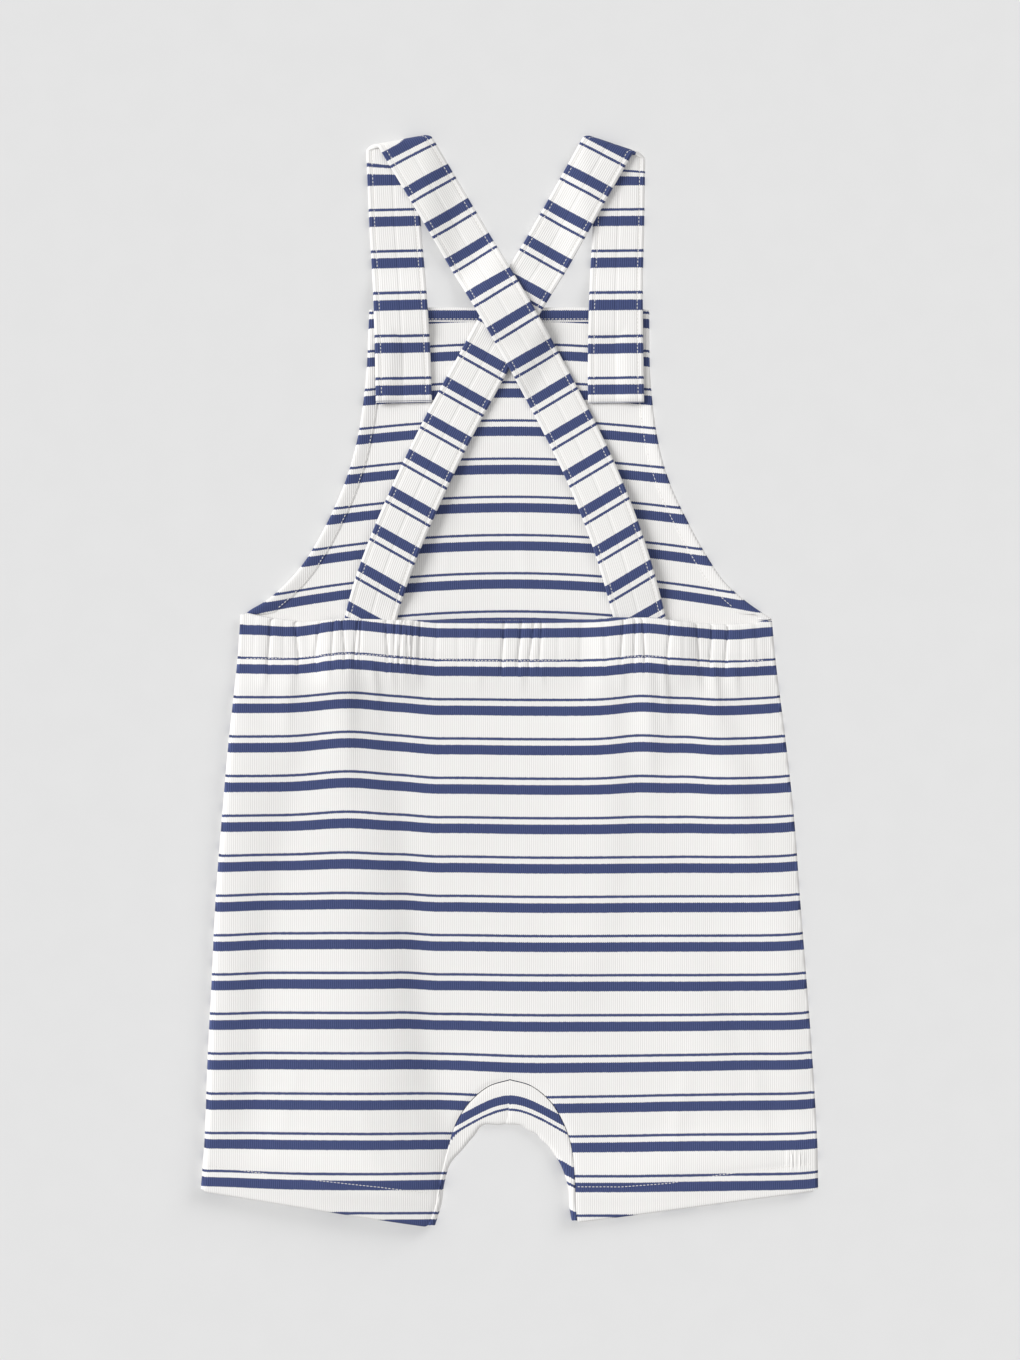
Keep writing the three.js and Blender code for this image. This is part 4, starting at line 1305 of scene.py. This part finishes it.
def stitched(name, lines, length):
    """Rows of stitches along lines of points that lie on the cloth, joined in one mesh."""
    shape, faces = stitch_pattern()
    points = []
    polygons = []
    for line in lines:
        for index in range(int(reached(line)[-1] // (length + STITCH_GAP))):
            start = index * (length + STITCH_GAP) + STITCH_GAP / 2
            ends = at_lengths(line, [start, start + length])
            direction = ends[1] - ends[0]
            reach = np.linalg.norm(direction)
            if reach < SHORTEST_STITCH:
                continue
            direction = direction / reach
            sideways = np.cross((0, 0, 1), direction)
            sideways = sideways / np.linalg.norm(sideways)
            upward = np.cross(direction, sideways)
            base = len(points) * len(shape)
            points.append(
                ends.mean(axis=0)
                + shape[:, :1] * direction * reach / 2
                + shape[:, 1:2] * sideways * THREAD_RADIUS
                + shape[:, 2:] * upward * THREAD_RADIUS * THREAD_FLATNESS
            )
            polygons.extend(tuple(corner + base for corner in face) for face in faces)
    mesh = bpy.data.meshes.new(name)
    mesh.from_pydata((np.vstack(points) * MM).tolist(), [], polygons)
    mesh.update()
    piece = bpy.data.objects.new(name, mesh)
    bpy.context.scene.collection.objects.link(piece)
    only(piece)
    bpy.ops.object.shade_smooth()
    return piece


def back_stitch_lines(cloth):
    x = np.linspace(*CASING_SEAM, 500)
    lines = [laid_on(cloth, np.column_stack([x, casing_bottom(x) - BELOW_CASING]))]
    for side in SIDES:
        outer, inner = np.array(LEG_END[side])
        plan = mix(outer, inner, np.linspace(0.03, 0.985, 240)[:, None])
        plan[:, 1] += hem_height(plan[:, 0])
        lines.append(laid_on(cloth, plan))
    return lines


def bib_stitch_lines(cloth):
    lines = []
    for side in SIDES:
        armhole = along(side_curve(ARMHOLE, side), np.linspace(0.045, 0.9, 240))
        plan = armhole - normals_away(armhole, side) * (BIB_HEM_DEPTH - SIDE_STITCH_INSET)
        lines.append(laid_on(cloth, plan[plan[:, 1] > SIDE_HEM_END + 0.2]))
    x = np.linspace(ARMHOLE[0][1] + BIB_HEM_DEPTH, ARMHOLE[0][2] - BIB_HEM_DEPTH, 120)
    stitch_line = np.full_like(x, BIB_TOP - BIB_HEM_DEPTH + TOP_STITCH_INSET)
    lines.append(laid_on(cloth, np.column_stack([x, stitch_line])))
    return lines


def strap_stitch_lines(side):
    points, _ = strap_middle(side)
    normal = surface_normals(points)
    reach = STRAP_WALL / 2 - STRAP_DENT + 0.05
    lines = []
    for share in (-STRAP_STITCH, STRAP_STITCH):
        after = int(np.searchsorted(STRAP_COLUMNS, share))
        part = (share - STRAP_COLUMNS[after - 1]) / (STRAP_COLUMNS[after] - STRAP_COLUMNS[after - 1])
        middle = mix(points[:, after - 1], points[:, after], part)
        outward = mix(normal[:, after - 1], normal[:, after], part)
        for face in (-1, 1):
            lines.append((middle + face * outward * reach)[BARE_ROWS[0]:-BARE_ROWS[1]])
    end_row = round(STRAP_END_SEAM / STRAP_STEP)
    lines.append(points[end_row, BARE_COLUMNS:-BARE_COLUMNS] + np.array([0, 0, STRAP_WALL / 2]))
    return lines


# Materials

def linear_colour(hex_value):
    """sRGB hex to the linear colour that the shader takes."""
    levels = [int(hex_value[place:place + 2], 16) / 255 for place in (0, 2, 4)]
    return [v / 12.92 if v <= 0.04045 else ((v + 0.055) / 1.055) ** 2.4 for v in levels] + [1.0]


def add_node(tree, kind, inputs=(), **settings):
    """One node with its settings. Inputs come in order or by name: values, or nodes and sockets to
    link from."""
    node = tree.nodes.new(kind)
    for name, value in settings.items():
        setattr(node, name, value)
    for key, value in inputs.items() if isinstance(inputs, dict) else enumerate(inputs):
        source = value.outputs[0] if isinstance(value, bpy.types.Node) else value
        if isinstance(source, bpy.types.NodeSocket):
            tree.links.new(source, node.inputs[key])
        else:
            node.inputs[key].default_value = source
    return node


def new_material(name):
    material = bpy.data.materials.new(name)
    material.use_nodes = True
    material.node_tree.nodes.clear()
    return material, material.node_tree


MATH = "ShaderNodeMath"
MIX = "ShaderNodeMix"
NOISE = "ShaderNodeTexNoise"
SURFACE = "ShaderNodeBsdfPrincipled"
OUTPUT = "ShaderNodeOutputMaterial"

# Real sizes of the patterns: yarn flecks, faint cloudiness of the dye, loose fibres, the stripes'
# step from a rib's crown to its side and their unevenness along the yarn, thread twist and card grain
FLECK = 1.111
CLOUD = 45.45
FIBRE = 0.3846
RIB_STEP = 0.22
YARN_STEP = 0.35
TWIST = 1.111
GRAIN = 16.67


def rib_jersey(name, white, navy, rib_pitch, rib_depth):
    """Cotton rib jersey, knitted in fine upright ribs from white and dyed yarn. Matt and soft: the ribs'
    crowns are painted lighter and the hollows between them painted in shade, besides the ribs' bump, and
    the stripes step from rib to rib."""
    material, tree = new_material(name)
    weave = add_node(tree, "ShaderNodeUVMap", uv_map="weave")
    weave = add_node(tree, "ShaderNodeSeparateXYZ", (weave,))
    across, up = weave.outputs["X"], weave.outputs["Y"]
    turns = add_node(tree, MATH, (across, 2 * math.pi / (rib_pitch * MM)), operation="MULTIPLY")
    wave = add_node(tree, MATH, (turns,), operation="COSINE")
    crown = add_node(tree, MATH, (wave, 0.5, 0.5), operation="MULTIPLY_ADD")

    place = add_node(tree, "ShaderNodeTexCoord").outputs["Object"]
    fleck, cloud, fibre = (
        add_node(
            tree, NOISE,
            {"Vector": place, "Scale": 1 / (size * MM), "Detail": detail, "Roughness": roughness},
        )
        for size, detail, roughness in ((FLECK, 2.0, 0.6), (CLOUD, 3.0, 0.5), (FIBRE, 2.0, 0.7))
    )
    uneven = add_node(tree, MATH, (fleck, 0.5), operation="SUBTRACT")
    stepped = add_node(tree, MATH, (crown, RIB_STEP * MM, up), operation="MULTIPLY_ADD")
    stepped = add_node(tree, MATH, (uneven, YARN_STEP * MM, stepped), operation="MULTIPLY_ADD")
    repeats = add_node(tree, MATH, (stepped, 1 / (STRIPE_REPEAT * MM), 0.5), operation="MULTIPLY_ADD")
    in_repeat = add_node(tree, MATH, (repeats,), operation="FRACT")
    bands = []
    for centre, width in ((0.0, THICK_BAND), (THIN_FROM_THICK, THIN_BAND)):
        middle = 0.5 + centre / STRIPE_REPEAT
        away = add_node(tree, MATH, (in_repeat, middle), operation="SUBTRACT")
        away = add_node(tree, MATH, (away,), operation="ABSOLUTE")
        inside = add_node(tree, MATH, (width / 2 / STRIPE_REPEAT, away), operation="SUBTRACT")
        sharpness = STRIPE_REPEAT / BAND_EDGE
        bands.append(
            add_node(tree, MATH, (inside, sharpness, 0.5), operation="MULTIPLY_ADD", use_clamp=True)
        )
    stripe = add_node(tree, MATH, bands, operation="MAXIMUM")

    # Each colour comes as a lit and a shaded copy: the ribs' crowns are painted lighter and the hollows
    # between them painted in shade.
    shade, light = map(linear_colour, white)
    deep, blue = map(linear_colour, navy)
    white_with_painted_rib_shade = add_node(tree, MIX, {0: crown, 6: shade, 7: light}, data_type="RGBA")
    # The navy's crowns take painted light, mixed with the yarn's own loose fibres.
    heather = add_node(tree, MATH, (fibre, 0.9, -0.2), operation="MULTIPLY_ADD")
    lit = add_node(tree, MATH, (crown, heather), operation="ADD")
    lit = add_node(tree, MATH, (lit, 0.62), operation="MULTIPLY", use_clamp=True)
    # The dyed navy, with its crowns painted lighter and its hollows painted in shade.
    dyed = add_node(tree, MIX, {0: lit, 6: deep, 7: blue}, data_type="RGBA")
    striped = add_node(
        tree, MIX, {0: stripe, 6: white_with_painted_rib_shade.outputs[2], 7: dyed.outputs[2]}, data_type="RGBA",
    )
    value = add_node(tree, MATH, (cloud, 0.07, 0.965), operation="MULTIPLY_ADD")
    toned = add_node(
        tree, "ShaderNodeHueSaturation", {"Color": striped.outputs[2], "Value": value},
    )
    relief = add_node(tree, MATH, (fibre, 0.35, crown), operation="MULTIPLY_ADD")
    bump = add_node(
        tree, "ShaderNodeBump", {"Height": relief, "Distance": rib_depth * MM, "Strength": 0.6},
    )
    surface = add_node(
        tree, SURFACE,
        {
            "Base Color": toned, "Roughness": 0.92, "IOR": 1.45, "Specular IOR Level": 0.2,
            "Sheen Weight": 0.12, "Sheen Roughness": 0.5, "Normal": bump,
        },
    )
    add_node(tree, OUTPUT, {"Surface": surface})
    return material


def cotton_thread(name):
    """Twisted cotton sewing thread: off-white, matt, with a fine twist along each stitch, its strands
    painted paler in shade and whiter in light.
    """
    material, tree = new_material(name)
    place = add_node(tree, "ShaderNodeTexCoord").outputs["Object"]
    twist = add_node(
        tree, "ShaderNodeTexWave",
        {"Vector": place, "Scale": 1 / (TWIST * MM), "Distortion": 2.0, "Detail": 1.0},
        bands_direction="DIAGONAL",
    ).outputs["Fac"]
    # The twist's bands are painted in shade and light: a paler and a whiter copy of the one off-white.
    pale, white = map(linear_colour, ("DAD7D2", "F6F4F0"))
    colour = add_node(tree, MIX, {0: twist, 6: pale, 7: white}, data_type="RGBA").outputs[2]
    bump = add_node(tree, "ShaderNodeBump", {"Height": twist, "Distance": 0.05 * MM})
    surface = add_node(
        tree, SURFACE,
        {"Base Color": colour, "Roughness": 0.8, "Specular IOR Level": 0.25, "Normal": bump},
    )
    add_node(tree, OUTPUT, {"Surface": surface})
    return material


def matt_card():
    """Matt painted card: a plain pale studio surface with no gloss."""
    material, tree = new_material("Matt card, pale grey")
    place = add_node(tree, "ShaderNodeTexCoord").outputs["Object"]
    grain = add_node(tree, NOISE, {"Vector": place, "Scale": 1 / (GRAIN * MM), "Detail": 2.0})
    dark, light = map(linear_colour, ("DFDFDF", "E2E2E2"))
    colour = add_node(tree, MIX, {0: grain, 6: dark, 7: light}, data_type="RGBA").outputs[2]
    surface = add_node(
        tree, SURFACE, {"Base Color": colour, "Roughness": 0.95, "Specular IOR Level": 0.1},
    )
    add_node(tree, OUTPUT, {"Surface": surface})
    return material


# Settings, operators and panel

class DungareesSizes(bpy.types.PropertyGroup):
    wall: bpy.props.FloatProperty(
        name="Cloth", description="Thickness of the jersey", default=CLOTH * MM, unit="LENGTH",
    )
    rib_pitch: bpy.props.FloatProperty(
        name="Rib", description="Distance from rib to rib", default=RIB_PITCH * MM, unit="LENGTH",
    )
    rib_depth: bpy.props.FloatProperty(
        name="Rib depth", description="Height of the ribs' crowns", default=0.16 * MM, unit="LENGTH",
    )
    stitch: bpy.props.FloatProperty(
        name="Stitch", description="Length of one stitch", default=STITCH_LENGTH * MM, unit="LENGTH",
    )


class DungareesColours(bpy.types.PropertyGroup):
    # The colours between the ribs are painted shade: darker copies of the yarn's colours on the ribs'
    # crowns.
    white: bpy.props.StringProperty(
        name="White", description="Ground of the jersey, sRGB", default="F3F2F0",
    )
    white_shade: bpy.props.StringProperty(
        name="White between ribs", description="Ground between the ribs, sRGB", default="E7E5E3",
    )
    navy: bpy.props.StringProperty(
        name="Navy", description="Stripes on the ribs' crowns, sRGB", default="535F8D",
    )
    navy_shade: bpy.props.StringProperty(
        name="Navy between ribs", description="Stripes between the ribs, sRGB", default="30385B",
    )


BODY_CLOTH = "Cotton rib jersey, yarn-dyed stripes"
STRAP_CLOTH = "Cotton rib jersey, doubled for straps"
THREAD = "Cotton sewing thread, twisted"


def cloth_material(name):
    colours = bpy.context.scene.dungarees_colours
    sizes = bpy.context.scene.dungarees_sizes
    return bpy.data.materials.get(name) or rib_jersey(
        name, (colours.white_shade, colours.white), (colours.navy_shade, colours.navy),
        sizes.rib_pitch / MM, sizes.rib_depth / MM,
    )


def sewn(name, lines):
    """A piece's own stitching, in thread that lies on the cloth."""
    thread = stitched(name, lines, bpy.context.scene.dungarees_sizes.stitch / MM)
    return finish_piece(thread, bpy.data.materials.get(THREAD) or cotton_thread(THREAD))


class DUNGAREES_OT_front(bpy.types.Operator):
    """Make the front with its turned bib and leg hems, and its wrap at the crotch"""
    bl_idname = "dungarees.front"
    bl_label = "Front"

    def execute(self, context):
        piece = make_front(context.scene.dungarees_sizes.wall / MM)
        replaced = ("front_panel", "armhole_hem_left", "armhole_hem_right", "bib_top_hem")
        finish_piece(piece, cloth_material(BODY_CLOTH), replaced)
        thread = sewn("bib_stitching", bib_stitch_lines(piece))
        return {"FINISHED"}


class DUNGAREES_OT_back(bpy.types.Operator):
    """Make the back with its gathered casing and turned leg hems"""
    bl_idname = "dungarees.back"
    bl_label = "Back"

    def execute(self, context):
        piece = make_back(context.scene.dungarees_sizes.wall / MM)
        finish_piece(piece, cloth_material(BODY_CLOTH), ("back_panel", "waist_casing"))
        thread = sewn("back_stitching", back_stitch_lines(piece))
        return {"FINISHED"}


class DUNGAREES_OT_straps(bpy.types.Operator):
    """Make both doubled straps, folded at the top and topstitched"""
    bl_idname = "dungarees.straps"
    bl_label = "Straps"

    def execute(self, context):
        for side in SIDES:
            piece = make_strap(side)
            finish_piece(piece, cloth_material(STRAP_CLOTH), ("strap_" + side,))
            thread = sewn("strap_" + side + "_stitching", strap_stitch_lines(side))
        return {"FINISHED"}


# Stage: the floor and the garment have their own suns, so that shadow and folds both read.
# Suns: name, place, strength, whether its light falls on the floor alone, whether it casts shadows
SUNS = (
    ("soft_key", (-0.8, 0.3, 0.6), 2.7, False, True),
    ("soft_fill", (0.6, 0.2, 0.8), 0.35, False, True),
    ("floor_key", (0.8, 0.7, 0.55), 0.9, True, True),
    ("floor_bounce", (0.0, 0.0, 1.0), 1.38, True, False),
)
SUN_SPREAD = math.radians(32)
SKY_STRENGTH = 0.47
FLOOR_SIZE = 6
FLOOR_DROP = 0.05
PHOTO_HEIGHT = 1360
MM_PER_PIXEL = 0.44
CAMERA_HEIGHT = 1.6


class DUNGAREES_OT_stage(bpy.types.Operator):
    """Lay a pale floor and set the studio light and the camera"""
    bl_idname = "dungarees.stage"
    bl_label = "Stage"

    def execute(self, context):
        bpy.ops.object.select_all(action="DESELECT")
        bpy.ops.mesh.primitive_plane_add(size=FLOOR_SIZE, location=(0, 0, 0))
        floor = bpy.context.active_object
        floor.name = "floor"
        floor.data.materials.append(matt_card())
        for corner in floor.data.vertices:
            corner.co.z = -FLOOR_DROP * MM

        camera = bpy.data.cameras.new("camera")
        camera.sensor_fit = "VERTICAL"
        camera.angle = 2 * math.atan(PHOTO_HEIGHT * MM_PER_PIXEL * MM / 2 / CAMERA_HEIGHT)
        camera.clip_end = 20
        stand = bpy.data.objects.new("camera", camera)
        stand.location = (0, 0, CAMERA_HEIGHT)
        context.scene.collection.objects.link(stand)
        context.scene.camera = stand

        for name, place, strength, on_floor, shadow in SUNS:
            sun = bpy.data.lights.new(name, "SUN")
            sun.energy = strength
            sun.angle = SUN_SPREAD
            sun.use_shadow = shadow
            holder = bpy.data.objects.new(name, sun)
            holder.location = place
            holder.rotation_euler = (-holder.location).to_track_quat("-Z", "Y").to_euler()
            context.scene.collection.objects.link(holder)
            lit = bpy.data.collections.new(name + "_reach")
            lit.objects.link(floor)
            lit.collection_objects[0].light_linking.link_state = "INCLUDE" if on_floor else "EXCLUDE"
            holder.light_linking.receiver_collection = lit
        world = bpy.data.worlds.new("studio")
        world.use_nodes = True
        sky = world.node_tree.nodes["Background"]
        sky.inputs["Color"].default_value = linear_colour("FFFFFF")
        sky.inputs["Strength"].default_value = SKY_STRENGTH
        context.scene.world = world
        context.scene.view_settings.view_transform = "Standard"
        return {"FINISHED"}


OPERATORS = (DUNGAREES_OT_stage, DUNGAREES_OT_front, DUNGAREES_OT_back, DUNGAREES_OT_straps)


class DUNGAREES_PT_panel(bpy.types.Panel):
    bl_idname = "DUNGAREES_PT_panel"
    bl_label = "Dungarees"
    bl_space_type = "VIEW_3D"
    bl_region_type = "UI"
    bl_category = "Dungarees"

    def draw(self, context):
        for group in (context.scene.dungarees_sizes, context.scene.dungarees_colours):
            for name in group.__annotations__:
                self.layout.prop(group, name)
        for operator in OPERATORS:
            self.layout.operator(operator.bl_idname)


CLASSES = (DungareesSizes, DungareesColours, *OPERATORS, DUNGAREES_PT_panel)


def register():
    for item in CLASSES:
        bpy.utils.register_class(item)
    bpy.types.Scene.dungarees_sizes = bpy.props.PointerProperty(type=DungareesSizes)
    bpy.types.Scene.dungarees_colours = bpy.props.PointerProperty(type=DungareesColours)


def unregister():
    del bpy.types.Scene.dungarees_sizes
    del bpy.types.Scene.dungarees_colours
    for item in reversed(CLASSES):
        bpy.utils.unregister_class(item)


def main():
    register()
    bpy.ops.dungarees.stage()
    bpy.ops.dungarees.front()
    bpy.ops.dungarees.back()
    bpy.ops.dungarees.straps()


if __name__ == "__main__":
    main()
